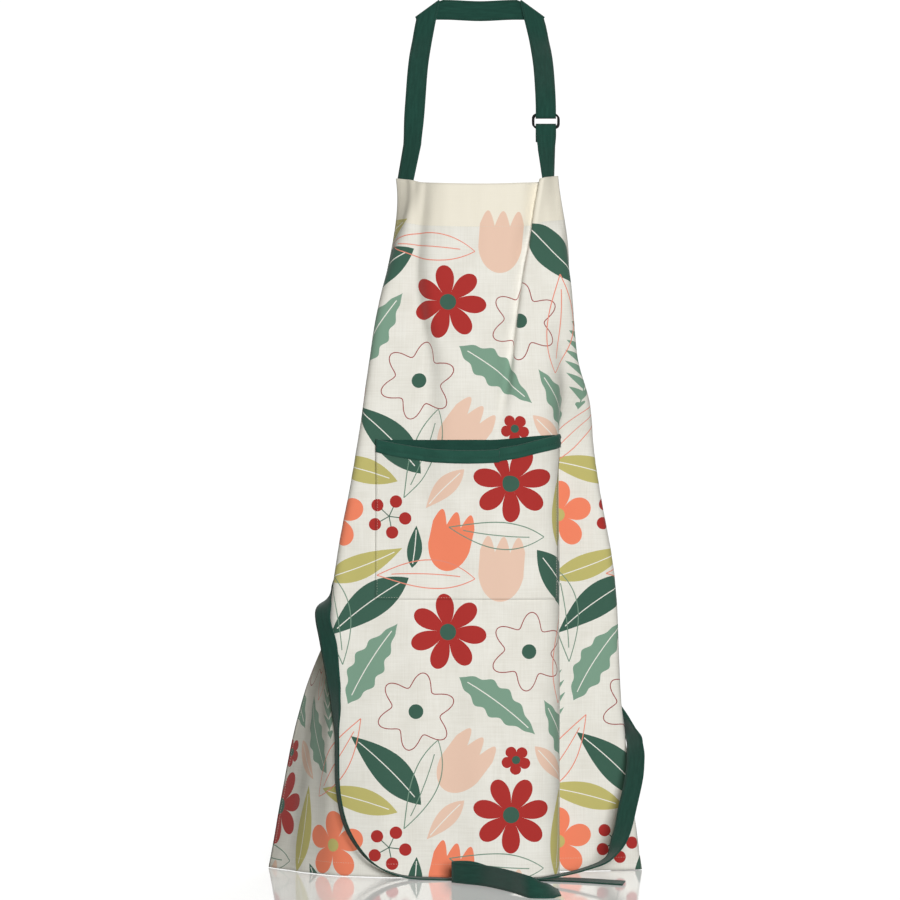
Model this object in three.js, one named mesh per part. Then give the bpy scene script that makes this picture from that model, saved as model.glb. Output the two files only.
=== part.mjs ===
import * as THREE from 'three';

// Kitchen apron in its worn form, in millimetres, +Z up, front towards -Y, +X right as seen from the front.
// The origin is the middle of the lower edge of the neck strap's bar, where the apron hangs on the nape.

// Flat sizes of the cut cloth
const APRON_LENGTH = 854;
const BIB_HALF_WIDTH = 120;
const WAIST_HALF_WIDTH = 295;
const HEM_HALF_WIDTH = 314;
const WAIST_DOWN = 320;
const CLOTH_THICKNESS = 1.2;

// Where the cloth hangs
const BIB_TOP_Z = -206.2;
const HEM_Z = -1059.6;
const TOP_EDGE_SAG = 7;
const SAG_FADE_DOWN = 200;
const CORNER_RISE = { left: 2.5, right: 4 };
const CORNER_FROM = 74;
const CORNER_OVER = 24;

// Tape of the straps, ties and bindings
const TAPE_WIDTH = 25;
const TAPE_THICKNESS = 1.4;
const BINDING_THICKNESS = 1;
const BINDING_HEIGHT = 15;
const GAP = 0.3;
const SEWN_GAP = 0.9;
const SEWN_OVERLAP = 22;
const CORNER_INSET = 2;
const MITRE_HALF = 18.5;
const TAB_SLANT = 3;
const TIE_FOLD_OPENING = 6.4;
const BACK_LIFT = -(CLOTH_THICKNESS / 2 + SEWN_GAP + TAPE_THICKNESS / 2);

// Colours and finishes
const CREAM = 0xeee9dc;
const CREAM_POCKET = 0xebe4d3;
const DEEP_GREEN = 0x22473d;
const BINDING_GREEN = 0x2d5548;
const RING_BLACK = 0x1d1c1c;
const CLOTH_ROUGHNESS = 0.9;
const TAPE_ROUGHNESS = 0.85;
const RING_ROUGHNESS = 0.35;
const RING_METALNESS = 0.9;

// Distances below the bib's top edge that the columns of the fold tables stand for
const STATIONS = [0, 130, 225, 320, 500, 640, 854];

// Depth of the centre line of the front, at the stations
const CENTRE_DEPTH = [-140, -147, -150, -152, -154, -156, -158];

// The front is slightly round on each side of its centre line
const FRONT_ROUND = { over: 90, right: [8, 6, 6, 6, 6, 6, 6], left: [26, 10, 8, 6, 5, 4, 6] };

// Folds of the cloth on each side of the centre line, from the centre outwards.
// at: flat distance from the centre line; over: flat length of the bend; turn: degrees towards the back;
// cells: how many grid cells lie between the row before and this one.
const RIGHT_FOLDS = [
  {
    name: 'bib lap dips',
    cells: 2,
    at: [53, 30, 17, 4, 20, 20, 20],
    over: [24, 30, 30, 24, 20, 20, 20],
    turn: [30, 32, 30, 14, 0, 0, 0],
  },
  {
    name: 'bib lap goes under',
    cells: 3,
    at: [77, 53, 39, 24, 40, 40, 40],
    over: [10, 12, 12, 14, 14, 14, 14],
    turn: [-142, -130, -107, -38, 0, 0, 0],
  },
  {
    name: 'bib lap comes out',
    cells: 4,
    at: [89, 66, 52, 38, 60, 60, 60],
    over: [10, 12, 12, 14, 14, 14, 14],
    turn: [154, 98, 77, 24, 0, 0, 0],
  },
  {
    name: 'skirt roll turns back',
    cells: 5,
    at: [98, 90, 92, 96, 96, 96, 96],
    over: [4, 20, 44, 70, 72, 72, 72],
    turn: [0, 0, 46, 96, 102, 104, 102],
  },
  {
    name: 'skirt pleat turns out',
    cells: 7,
    at: [101, 104, 120, 148, 151, 153, 151],
    over: [2, 16, 20, 22, 22, 22, 22],
    turn: [0, 0, -42, -92, -97, -99, -96],
  },
  {
    name: 'right side turns back',
    cells: 4,
    at: [118, 123, 139, 197, 233, 245, 269],
    over: [8, 24, 24, 24, 20, 14, 12],
    turn: [0, 92, 100, 108, 112, 125, 140],
  },
];
const LEFT_FOLDS = [
  {
    name: 'strap crease dips',
    cells: 3,
    at: [56, 64, 46, 42, 50, 50, 50],
    over: [16, 20, 22, 24, 24, 24, 24],
    turn: [24, 42, 38, 18, 0, 0, 0],
  },
  {
    name: 'strap crease rises',
    cells: 3,
    at: [71, 82, 66, 64, 80, 80, 80],
    over: [8, 10, 14, 18, 12, 12, 12],
    turn: [-26, -48, -42, -20, 0, 0, 0],
  },
  {
    name: 'pocket side',
    cells: 3,
    at: [73.5, 100, 114, 128, 128, 128, 128],
    over: [10, 10, 10, 10, 10, 10, 10],
    turn: [0, 0, 0, 0, 0, 0, 0],
  },
  {
    name: 'left side turns back',
    cells: 4,
    at: [76, 123, 139, 150, 178, 176, 168],
    over: [18, 26, 24, 24, 24, 34, 96],
    turn: [20, 94, 100, 102, 93, 68, 42],
  },
  {
    name: 'left edge curls in',
    cells: 3,
    at: [112, 146, 192, 268, 276, 284, 284],
    over: [8, 24, 24, 24, 30, 36, 50],
    turn: [0, 0, 0, 0, 0, 4, 16],
  },
];
const EDGE_CELLS = { left: 3, right: 4 };

// Pocket. bulge and bulgePower: how far and how steeply it stands off the panel towards the mouth;
// sag: how far the mouth hangs down in the middle; rise, riseOver: extra room for the binding at the mouth.
const POCKET = {
  top: 320.5,
  depth: 195,
  left: -128,
  right: 98,
  bulge: 14,
  bulgePower: 1.5,
  sag: 14,
  rise: 3.4,
  riseOver: 45,
};

// Rows of the cloth grid: bib rows, one row for the band behind the pocket's mouth, then skirt rows
const BIB_ROWS = 11;
const SKIRT_ROWS = 17;

// Two oval wire rings of the strap's adjuster. squareness: power of the oval's outline;
// around, sides: facets along the wire and around it.
const RING = { halfWidth: 15.6, halfHeight: 8.6, wireRadius: 1.15, squareness: 4, around: 28, sides: 8 };
const RINGS = [
  { name: 'ring_front', x: 80.9, y: -106.4, z: -133.7 },
  { name: 'ring_back', x: 82, y: -103.6, z: -134.7 },
];

// Routes of the tapes. x, y, z: middle of the tape; turn: the tape's width turned about the vertical,
// in degrees from +X towards +Y; rise: the width's slope above the level, in degrees.
const LEFT_LEG = [
  { x: -83.1, y: -90, z: -161.8, turn: -30, rise: 0 },
  { x: -79.7, y: -74, z: -110, turn: -4, rise: -4 },
  { x: -75.8, y: -45, z: -56.8, turn: 0, rise: -5 },
  { x: -69.9, y: -18, z: -18.4, turn: 0, rise: 14 },
  { x: -64.2, y: -9.2, z: 13.2, turn: 0, rise: 36 },
];
const NECK_BAR = [
  { x: -64.2, y: -6, z: 13.6, turn: 0, rise: 36 },
  { x: -38, y: -3, z: 13.8, turn: 0, rise: 80 },
  { x: 1.2, y: 0, z: 12.5, turn: 0, rise: 90 },
  { x: 40.3, y: -3, z: 13.8, turn: 0, rise: 100 },
  { x: 66.3, y: -6, z: 13.5, turn: 0, rise: 144 },
];
const RIGHT_LEG = [
  { x: 66.3, y: -9.2, z: 13.1, turn: 0, rise: 144 },
  { x: 73.3, y: -18, z: -18.4, turn: 0, rise: 168 },
  { x: 78.7, y: -54, z: -54.6, turn: 0, rise: 184 },
  { x: 80.9, y: -94, z: -95.5, turn: 0, rise: 184 },
  { x: 81.4, y: -106.5, z: -116.6, turn: 0, rise: 180 },
  { x: 81.4, y: -108.7, z: -127.1, turn: 0, rise: 180 },
];
const RIGHT_LEG_TAIL = [
  { x: 81.5, y: -101.3, z: -126.5, turn: 0, rise: 180 },
  { x: 81.6, y: -99.2, z: -116, turn: 0, rise: 180 },
  { x: 81.1, y: -90, z: -97, turn: 0, rise: 184 },
];
const TAB_FRONT = [
  { x: 82, y: -115.5, z: -169.8, turn: 34, rise: 0 },
  { x: 81.4, y: -108.7, z: -142, turn: 0, rise: 0 },
];
const TAB_BACK = [
  { x: 81.5, y: -101, z: -141.4, turn: 0, rise: 0 },
  { x: 81.4, y: -101.4, z: -149, turn: 6, rise: 0 },
  { x: 81.2, y: -105.6, z: -160, turn: 15, rise: 0 },
];

// The ties leave the waist corners, fold down on the outside, lie against the cloth and come forward,
// then hang free and lie on the floor in front of the hem.
// flat, down, lift: place on the cut cloth and distance of the tape's middle from the cloth's middle.
const LEFT_TIE = {
  side: -1,
  lying: [
    { flat: -275, down: 372, lift: 5 },
    { flat: -254, down: 432, lift: 5 },
    { flat: -234, down: 496, lift: 6 },
  ],
  hanging: [
    { x: -192.3, y: -138, z: -740, turn: 134, rise: 0 },
    { x: -185.3, y: -143, z: -774.7, turn: 144, rise: 0 },
    { x: -178.9, y: -152, z: -819.4, turn: 131, rise: 0 },
    { x: -176, y: -157, z: -845.9, turn: 119, rise: 0 },
    { x: -174.2, y: -164, z: -885.7, turn: 102, rise: 0 },
    { x: -172, y: -168, z: -956.9, turn: 102, rise: 0 },
    { x: -160, y: -174, z: -1001.9, turn: 104, rise: 0 },
    { x: -132, y: -178, z: -1038.9, turn: 103, rise: 0 },
    { x: -98, y: -179, z: -1054.9, turn: 97, rise: 0 },
    { x: -50, y: -178, z: -1059.1, turn: 90, rise: 0 },
    { x: 40, y: -180, z: -1059.1, turn: 90, rise: 0 },
    { x: 110, y: -200, z: -1058.2, turn: 82, rise: 4 },
    { x: 172, y: -236, z: -1058.2, turn: 80, rise: 4 },
  ],
};
const RIGHT_TIE = {
  side: 1,
  lying: [
    { flat: 286, down: 385, lift: 5 },
    { flat: 286, down: 460, lift: 5 },
    { flat: 284, down: 550, lift: 6 },
  ],
  hanging: [
    { x: 161.9, y: -42.4, z: -850.3, turn: -43, rise: 0 },
    { x: 186.4, y: -64.8, z: -882.8, turn: -71, rise: 0 },
    { x: 191.4, y: -86, z: -899, turn: -58, rise: 0 },
    { x: 192, y: -106, z: -918, turn: -41, rise: 0 },
    { x: 189.1, y: -124, z: -941.1, turn: -33, rise: 0 },
    { x: 180.6, y: -146, z: -973.6, turn: -31, rise: 0 },
    { x: 170.8, y: -168, z: -1008.1, turn: -39, rise: 0 },
    { x: 155.5, y: -186, z: -1033.7, turn: -76, rise: 0 },
    { x: 126.6, y: -200, z: -1044.9, turn: -85, rise: 0 },
    { x: 91.3, y: -208, z: -1052.5, turn: -88, rise: 0 },
    { x: 58, y: -214, z: -1055.9, turn: -88, rise: 4 },
    { x: 20, y: -214, z: -1050.6, turn: -88, rise: 40 },
    { x: -15, y: -214, z: -1046, turn: -88, rise: 80 },
    { x: -34, y: -227, z: -1045.6, turn: -88, rise: 90 },
    { x: -22, y: -243, z: -1045.6, turn: -88, rise: 92 },
    { x: 2, y: -268, z: -1045.6, turn: -88, rise: 94 },
    { x: 34, y: -330, z: -1045.9, turn: -88, rise: 98 },
    { x: 57.7, y: -377, z: -1048.4, turn: -88, rise: 118 },
    { x: 72.8, y: -378, z: -1052, turn: -88, rise: 140 },
    { x: 91.5, y: -362, z: -1055.9, turn: -84, rise: 172 },
  ],
};

const DEGREE = Math.PI / 180;
const SECTION_STEP = 1;
const ROUTE_STEPS_PER_SPAN = 3;
const HALF_TURN_STEPS = 4;

function lerp(a, b, part) {
  return a + (b - a) * part;
}

function smooth(part) {
  const p = Math.min(1, Math.max(0, part));
  return p * p * (3 - 2 * p);
}

// Value of a table's row between the stations, with a slope that runs on smoothly through each station.
function atDown(values, down) {
  const last = STATIONS.length - 1;
  const slope = (i) => {
    const before = Math.max(0, i - 1);
    const after = Math.min(last, i + 1);
    return (values[after] - values[before]) / (STATIONS[after] - STATIONS[before]);
  };
  let i = 0;
  while (i < last - 1 && down > STATIONS[i + 1]) i += 1;
  const span = STATIONS[i + 1] - STATIONS[i];
  const p = Math.min(1, Math.max(0, (down - STATIONS[i]) / span));
  const start = values[i] * (2 * p ** 3 - 3 * p ** 2 + 1) + slope(i) * span * (p ** 3 - 2 * p ** 2 + p);
  const end = values[i + 1] * (3 * p ** 2 - 2 * p ** 3) + slope(i + 1) * span * (p ** 3 - p ** 2);
  return start + end;
}

// Half of the cut cloth's width: the armhole curves out from the bib to the waist.
function halfWidth(down) {
  if (down >= WAIST_DOWN) {
    const part = (down - WAIST_DOWN) / (APRON_LENGTH - WAIST_DOWN);
    return lerp(WAIST_HALF_WIDTH, HEM_HALF_WIDTH, part);
  }
  const curve = 1 - Math.cos((Math.PI / 2) * (down / WAIST_DOWN));
  return lerp(BIB_HALF_WIDTH, WAIST_HALF_WIDTH, curve);
}

// One side of a level section: runs outwards from the centre line and turns at each fold.
function sideRun(down, folds, round) {
  const width = halfWidth(down);
  const turns = folds.map((fold) => ({
    start: atDown(fold.at, down) - atDown(fold.over, down) / 2,
    over: atDown(fold.over, down),
    turn: atDown(fold.turn, down) * DEGREE,
  }));
  turns.push({ start: 0, over: FRONT_ROUND.over, turn: atDown(round, down) * DEGREE });
  const headingAt = (flat) => turns.reduce(
    (sum, turn) => sum + turn.turn * smooth((flat - turn.start) / turn.over),
    0,
  );
  const run = [{ out: 0, back: 0, heading: 0 }];
  for (let flat = SECTION_STEP; flat <= width + SECTION_STEP; flat += SECTION_STEP) {
    const middle = headingAt(flat - SECTION_STEP / 2);
    const before = run[run.length - 1];
    run.push({
      out: before.out + Math.cos(middle) * SECTION_STEP,
      back: before.back + Math.sin(middle) * SECTION_STEP,
      heading: headingAt(flat),
    });
  }
  return run;
}

const sections = new Map();

function sectionAt(down) {
  if (!sections.has(down)) {
    sections.set(down, {
      left: sideRun(down, LEFT_FOLDS, FRONT_ROUND.left),
      right: sideRun(down, RIGHT_FOLDS, FRONT_ROUND.right),
    });
  }
  return sections.get(down);
}

// Point of the cloth at a flat distance from the centre line and below the bib's top edge,
// moved out of the cloth's middle towards its front by lift.
function clothPoint(flat, down, lift = 0) {
  const level = Math.min(APRON_LENGTH, Math.max(0, down));
  const side = flat < 0 ? 'left' : 'right';
  const run = sectionAt(level)[side];
  const place = Math.abs(flat) / SECTION_STEP;
  const i = Math.min(Math.floor(place), run.length - 2);
  const part = Math.min(1, place - i);
  const out = lerp(run[i].out, run[i + 1].out, part);
  const back = lerp(run[i].back, run[i + 1].back, part);
  const heading = lerp(run[i].heading, run[i + 1].heading, part);
  const sign = flat < 0 ? -1 : 1;
  const across = Math.min(1, Math.abs(flat) / BIB_HALF_WIDTH);
  const rise = CORNER_RISE[side] * smooth((Math.abs(flat) - CORNER_FROM) / CORNER_OVER);
  const sag = (TOP_EDGE_SAG * (1 - across ** 2) - rise) * (1 - smooth(level / SAG_FADE_DOWN));
  return new THREE.Vector3(
    sign * (out + lift * Math.sin(heading)),
    atDown(CENTRE_DEPTH, level) + back - lift * Math.cos(heading),
    lerp(BIB_TOP_Z, HEM_Z, down / APRON_LENGTH) - sag,
  );
}

// Flat distances of the grid's columns at one level, from the left edge to the right edge.
function columnsAt(down) {
  const side = (folds, edgeCells) => {
    const flats = [0];
    const stops = folds.map((fold) => ({ at: atDown(fold.at, down), cells: fold.cells }));
    stops.push({ at: halfWidth(down), cells: edgeCells });
    for (const stop of stops) {
      const from = flats[flats.length - 1];
      for (let cell = 1; cell <= stop.cells; cell += 1) flats.push(lerp(from, stop.at, cell / stop.cells));
    }
    return flats;
  };
  const left = side(LEFT_FOLDS, EDGE_CELLS.left).slice(1).reverse().map((flat) => -flat);
  return [...left, ...side(RIGHT_FOLDS, EDGE_CELLS.right)];
}

// Closed wall between a front and a back grid of points, both indexed [column][row], rows running down.
function wallGeometry(front, back) {
  const columns = front.length;
  const rows = front[0].length;
  const layer = columns * rows;
  const positions = [];
  for (const grid of [front, back]) {
    for (const column of grid) for (const point of column) positions.push(point.x, point.y, point.z);
  }
  const f = (i, j) => i * rows + j;
  const b = (i, j) => layer + i * rows + j;
  const index = [];
  const quad = (p, q, r, s) => index.push(p, q, r, p, r, s);
  for (let i = 0; i < columns - 1; i += 1) {
    for (let j = 0; j < rows - 1; j += 1) {
      quad(f(i, j), f(i, j + 1), f(i + 1, j + 1), f(i + 1, j));
      quad(b(i, j), b(i + 1, j), b(i + 1, j + 1), b(i, j + 1));
    }
    quad(f(i, 0), f(i + 1, 0), b(i + 1, 0), b(i, 0));
    quad(f(i, rows - 1), b(i, rows - 1), b(i + 1, rows - 1), f(i + 1, rows - 1));
  }
  for (let j = 0; j < rows - 1; j += 1) {
    quad(f(0, j), b(0, j), b(0, j + 1), f(0, j + 1));
    quad(f(columns - 1, j), f(columns - 1, j + 1), b(columns - 1, j + 1), b(columns - 1, j));
  }
  const geometry = new THREE.BufferGeometry();
  geometry.setAttribute('position', new THREE.Float32BufferAttribute(positions, 3));
  geometry.setIndex(index);
  return geometry;
}

// Closed solid through rings of points, all with the same count, with flat end caps.
function loftGeometry(rings, profile) {
  const count = profile.length;
  const positions = rings.flat().flatMap((point) => [point.x, point.y, point.z]);
  const index = [];
  for (let r = 0; r < rings.length - 1; r += 1) {
    for (let k = 0; k < count; k += 1) {
      const next = (k + 1) % count;
      const [p, q] = [r * count + k, r * count + next];
      index.push(p, p + count, q + count, p, q + count, q);
    }
  }
  const end = (rings.length - 1) * count;
  for (const [p, q, s] of THREE.ShapeUtils.triangulateShape(profile, [])) {
    index.push(p, q, s);
    index.push(end + p, end + s, end + q);
  }
  const geometry = new THREE.BufferGeometry();
  geometry.setAttribute('position', new THREE.Float32BufferAttribute(positions, 3));
  geometry.setIndex(index);
  return geometry;
}

// Tape along rows that each have a middle and a unit vector across the width.
function tapeGeometry(rows) {
  const front = [[], []];
  const back = [[], []];
  rows.forEach((row, j) => {
    const before = rows[Math.max(0, j - 1)].middle;
    const after = rows[Math.min(rows.length - 1, j + 1)].middle;
    const along = after.clone().sub(before).normalize();
    const face = row.across.clone().cross(along).normalize();
    const half = row.across.clone().multiplyScalar(row.half);
    for (const [i, sign] of [[0, 1], [1, -1]]) {
      const edge = row.middle.clone().addScaledVector(half, sign);
      front[i].push(edge.clone().addScaledVector(face, TAPE_THICKNESS / 2));
      back[i].push(edge.clone().addScaledVector(face, -TAPE_THICKNESS / 2));
    }
  });
  return wallGeometry(front, back);
}

function acrossVector(turn, rise) {
  const level = Math.cos(rise * DEGREE);
  return new THREE.Vector3(
    level * Math.cos(turn * DEGREE),
    level * Math.sin(turn * DEGREE),
    Math.sin(rise * DEGREE),
  );
}

// Stops of a route from a table of places and angles
function routeStops(table) {
  return table.map(({ x, y, z, turn, rise }) => ({
    middle: new THREE.Vector3(x, y, z),
    across: acrossVector(turn, rise),
  }));
}

// Rows along a smooth route through stops; a slanted row is longer so that the tape keeps its width.
function routeRows(stops) {
  const curve = new THREE.CatmullRomCurve3(stops.map((stop) => stop.middle));
  const spans = stops.length - 1;
  const rows = [];
  for (let k = 0; k <= spans * ROUTE_STEPS_PER_SPAN; k += 1) {
    const place = k / ROUTE_STEPS_PER_SPAN;
    const i = Math.min(spans - 1, Math.floor(place));
    const across = stops[i].across.clone().lerp(stops[i + 1].across, smooth(place - i)).normalize();
    const slant = across.clone().cross(curve.getTangent(place / spans)).length();
    rows.push({ middle: curve.getPoint(place / spans), across, half: TAPE_WIDTH / 2 / slant });
  }
  return rows;
}

// Half turn of tape around the line across it, between two layers: the middle goes round, bulging outwards.
function halfTurnRows(from, to, outwards) {
  const centre = from.middle.clone().add(to.middle).multiplyScalar(0.5);
  const arm = from.middle.clone().sub(centre);
  const bulge = outwards.clone().multiplyScalar(arm.length());
  const rows = [];
  for (let k = 1; k < HALF_TURN_STEPS; k += 1) {
    const angle = (Math.PI * k) / HALF_TURN_STEPS;
    const middle = centre.clone();
    middle.addScaledVector(arm, Math.cos(angle)).addScaledVector(bulge, Math.sin(angle));
    rows.push({ middle, across: from.across, half: from.half });
  }
  return rows;
}

// Tape row sewn to the back of the cloth, with the tape running down it
function sewnRow(flat, down) {
  const across = clothPoint(flat + 1, down).sub(clothPoint(flat - 1, down)).normalize();
  return { middle: clothPoint(flat, down, BACK_LIFT), across, half: TAPE_WIDTH / 2 };
}

function makeMesh(name, geometry, color, roughness, metalness = 0) {
  geometry.computeVertexNormals();
  const mesh = new THREE.Mesh(geometry, new THREE.MeshStandardMaterial({ color, roughness, metalness }));
  mesh.name = name;
  return mesh;
}

// Panel
const panelRows = [];
for (let j = 0; j <= BIB_ROWS; j += 1) panelRows.push((POCKET.top * j) / BIB_ROWS);
const skirtTop = POCKET.top + BINDING_HEIGHT;
for (let j = 0; j <= SKIRT_ROWS; j += 1) {
  panelRows.push(lerp(skirtTop, APRON_LENGTH, j / SKIRT_ROWS));
}

function panelMesh() {
  const layer = (lift) => columnsAt(0).map((_, i) => panelRows.map(
    (down) => clothPoint(columnsAt(down)[i], down, lift),
  ));
  const geometry = wallGeometry(layer(CLOTH_THICKNESS / 2), layer(-CLOTH_THICKNESS / 2));
  return makeMesh('panel', geometry, CREAM, CLOTH_ROUGHNESS);
}

// Pocket: lies on the panel at its sides and bottom and stands off it towards the sagging mouth.
// Its columns are the panel's, from the pocket's side to the roll of the right pleat.
function pocketColumns(down) {
  const cellsTo = (folds, name) => {
    const last = folds.findIndex((fold) => fold.name === name);
    return folds.slice(0, last + 1).reduce((sum, fold) => sum + fold.cells, 0);
  };
  const centre = EDGE_CELLS.left + cellsTo(LEFT_FOLDS, 'left edge curls in');
  const left = cellsTo(LEFT_FOLDS, 'pocket side');
  const right = cellsTo(RIGHT_FOLDS, 'skirt roll turns back');
  return columnsAt(down).slice(centre - left, centre + right + 1);
}

function mouthShare(flat) {
  const middle = (POCKET.left + POCKET.right) / 2;
  const half = (POCKET.right - POCKET.left) / 2;
  return Math.max(0, 1 - ((flat - middle) / half) ** 2);
}

function pocketLift(flat, down) {
  const part = Math.min(1, Math.max(0, (POCKET.top + POCKET.depth - down) / POCKET.depth));
  const riseEnd = POCKET.top + BINDING_HEIGHT + POCKET.riseOver;
  const rise = POCKET.rise * smooth((riseEnd - down) / POCKET.riseOver);
  return CLOTH_THICKNESS + GAP + rise + POCKET.bulge * mouthShare(flat) * part ** POCKET.bulgePower;
}

function mouthDown(flat) {
  return POCKET.top + POCKET.sag * mouthShare(flat);
}

function pocketMesh() {
  const bottom = POCKET.top + POCKET.depth;
  const downs = panelRows.filter((down) => down > skirtTop + BINDING_HEIGHT && down < bottom);
  const layer = (lift) => pocketColumns(POCKET.top).map((flat, i) => {
    const mouth = mouthDown(flat);
    const column = [mouth, mouth + BINDING_HEIGHT].map(
      (down) => clothPoint(flat, down, pocketLift(flat, down) + lift),
    );
    for (const down of downs) {
      const here = pocketColumns(down)[i];
      column.push(clothPoint(here, down, pocketLift(here, down) + lift));
    }
    return column;
  });
  const geometry = wallGeometry(layer(CLOTH_THICKNESS / 2), layer(-CLOTH_THICKNESS / 2));
  return makeMesh('pocket', geometry, CREAM_POCKET, CLOTH_ROUGHNESS);
}

// Tape folded over the pocket's mouth: a channel in front of, over and behind the pocket's edge
function pocketBindingMesh() {
  const inner = CLOTH_THICKNESS / 2 + SEWN_GAP;
  const outer = inner + BINDING_THICKNESS;
  const profile = [
    [outer, -BINDING_HEIGHT],
    [outer, GAP + BINDING_THICKNESS],
    [-outer, GAP + BINDING_THICKNESS],
    [-outer, -BINDING_HEIGHT],
    [-inner, -BINDING_HEIGHT],
    [-inner, GAP],
    [inner, GAP],
    [inner, -BINDING_HEIGHT],
  ].map(([lift, up]) => new THREE.Vector2(lift, up));
  const rings = pocketColumns(POCKET.top).map((flat) => {
    const mouth = mouthDown(flat);
    return profile.map(({ x: lift, y: up }) => {
      const level = Math.max(mouth, mouth - up);
      const point = clothPoint(flat, level, pocketLift(flat, level) + lift);
      point.z += Math.max(0, up);
      return point;
    });
  });
  return makeMesh('pocket_binding', loftGeometry(rings, profile), BINDING_GREEN, TAPE_ROUGHNESS);
}

function pocketBackBandMesh() {
  const near = CLOTH_THICKNESS / 2 + GAP;
  const downs = [POCKET.top, skirtTop];
  const layer = (lift) => pocketColumns(POCKET.top).map((_, i) => downs.map(
    (down) => clothPoint(pocketColumns(down)[i], down, lift),
  ));
  const geometry = wallGeometry(layer(near + BINDING_THICKNESS), layer(near));
  return makeMesh('pocket_back_band', geometry, BINDING_GREEN, TAPE_ROUGHNESS);
}

// Neck strap: from behind the bib's left corner, up, across behind the neck, and down into the rings
function neckStrapMesh() {
  const flat = -(BIB_HALF_WIDTH - TAPE_WIDTH / 2);
  const sewn = [sewnRow(flat, SEWN_OVERLAP), sewnRow(flat, CORNER_INSET)];
  const left = routeRows(routeStops(LEFT_LEG));
  const bar = routeRows(routeStops(NECK_BAR));
  const right = routeRows(routeStops(RIGHT_LEG));
  const tail = routeRows(routeStops(RIGHT_LEG_TAIL));
  const outOfFold = (row) => new THREE.Vector3(-row.across.z, 0, row.across.x);
  const leftFold = left[left.length - 1];
  const rightFold = bar[bar.length - 1];
  for (const crease of [leftFold, bar[0], rightFold, right[0]]) crease.half = MITRE_HALF;
  const loop = right[right.length - 1];
  const down = new THREE.Vector3(0, 0, -1);
  const rows = [
    ...sewn,
    ...left,
    ...halfTurnRows(leftFold, bar[0], outOfFold(leftFold)),
    ...bar,
    ...halfTurnRows(rightFold, right[0], outOfFold(rightFold).negate()),
    ...right,
    ...halfTurnRows(loop, tail[0], down),
    ...tail,
  ];
  return makeMesh('neck_strap', tapeGeometry(rows), DEEP_GREEN, TAPE_ROUGHNESS);
}

// Short tab: from behind the bib's right corner up into the rings and back down behind itself
function strapTabMesh() {
  const flat = BIB_HALF_WIDTH - TAPE_WIDTH / 2;
  const sewn = [sewnRow(flat, SEWN_OVERLAP), sewnRow(flat - TAB_SLANT, CORNER_INSET)];
  const front = routeRows(routeStops(TAB_FRONT));
  const back = routeRows(routeStops(TAB_BACK));
  const up = new THREE.Vector3(0, 0, 1);
  const rows = [...sewn, ...front, ...halfTurnRows(front[front.length - 1], back[0], up), ...back];
  return makeMesh('strap_tab', tapeGeometry(rows), DEEP_GREEN, TAPE_ROUGHNESS);
}

// Oval wire ring, standing upright in the two loops of tape
function ringMesh({ name, x, y, z }) {
  const { around, sides } = RING;
  const positions = [];
  const index = [];
  for (let k = 0; k < around; k += 1) {
    const angle = (2 * Math.PI * k) / around;
    const reachAlong = (part) => Math.sign(part) * Math.abs(part) ** (2 / RING.squareness);
    const [c, s] = [reachAlong(Math.cos(angle)), reachAlong(Math.sin(angle))];
    const wire = new THREE.Vector2(RING.halfWidth * c, RING.halfHeight * s);
    const slope = (part) => Math.sign(part) * Math.abs(part) ** (RING.squareness - 1);
    const out = new THREE.Vector2(slope(c) / RING.halfWidth, slope(s) / RING.halfHeight).normalize();
    for (let m = 0; m < sides; m += 1) {
      const turn = (2 * Math.PI * m) / sides;
      const reach = RING.wireRadius * Math.cos(turn);
      positions.push(wire.x + out.x * reach, RING.wireRadius * Math.sin(turn), wire.y + out.y * reach);
      const [p, q] = [k * sides + m, k * sides + ((m + 1) % sides)];
      const [r, t] = [p, q].map((i) => (i + sides) % (around * sides));
      index.push(p, t, r, p, q, t);
    }
  }
  const geometry = new THREE.BufferGeometry();
  geometry.setAttribute('position', new THREE.Float32BufferAttribute(positions, 3));
  geometry.setIndex(index);
  const mesh = makeMesh(name, geometry, RING_BLACK, RING_ROUGHNESS, RING_METALNESS);
  mesh.position.set(x, y, z);
  return mesh;
}

// Stops of a tie where it lies against the outside of the cloth
function lyingStops(table) {
  const middles = table.map(({ flat, down, lift }) => clothPoint(flat, down, lift));
  return table.map(({ flat, down }, i) => {
    const last = table.length - 1;
    const along = middles[Math.min(last, i + 1)].clone().sub(middles[Math.max(0, i - 1)]);
    const out = clothPoint(flat, down, 1).sub(clothPoint(flat, down));
    return { middle: middles[i], across: along.cross(out).normalize() };
  });
}

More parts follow.
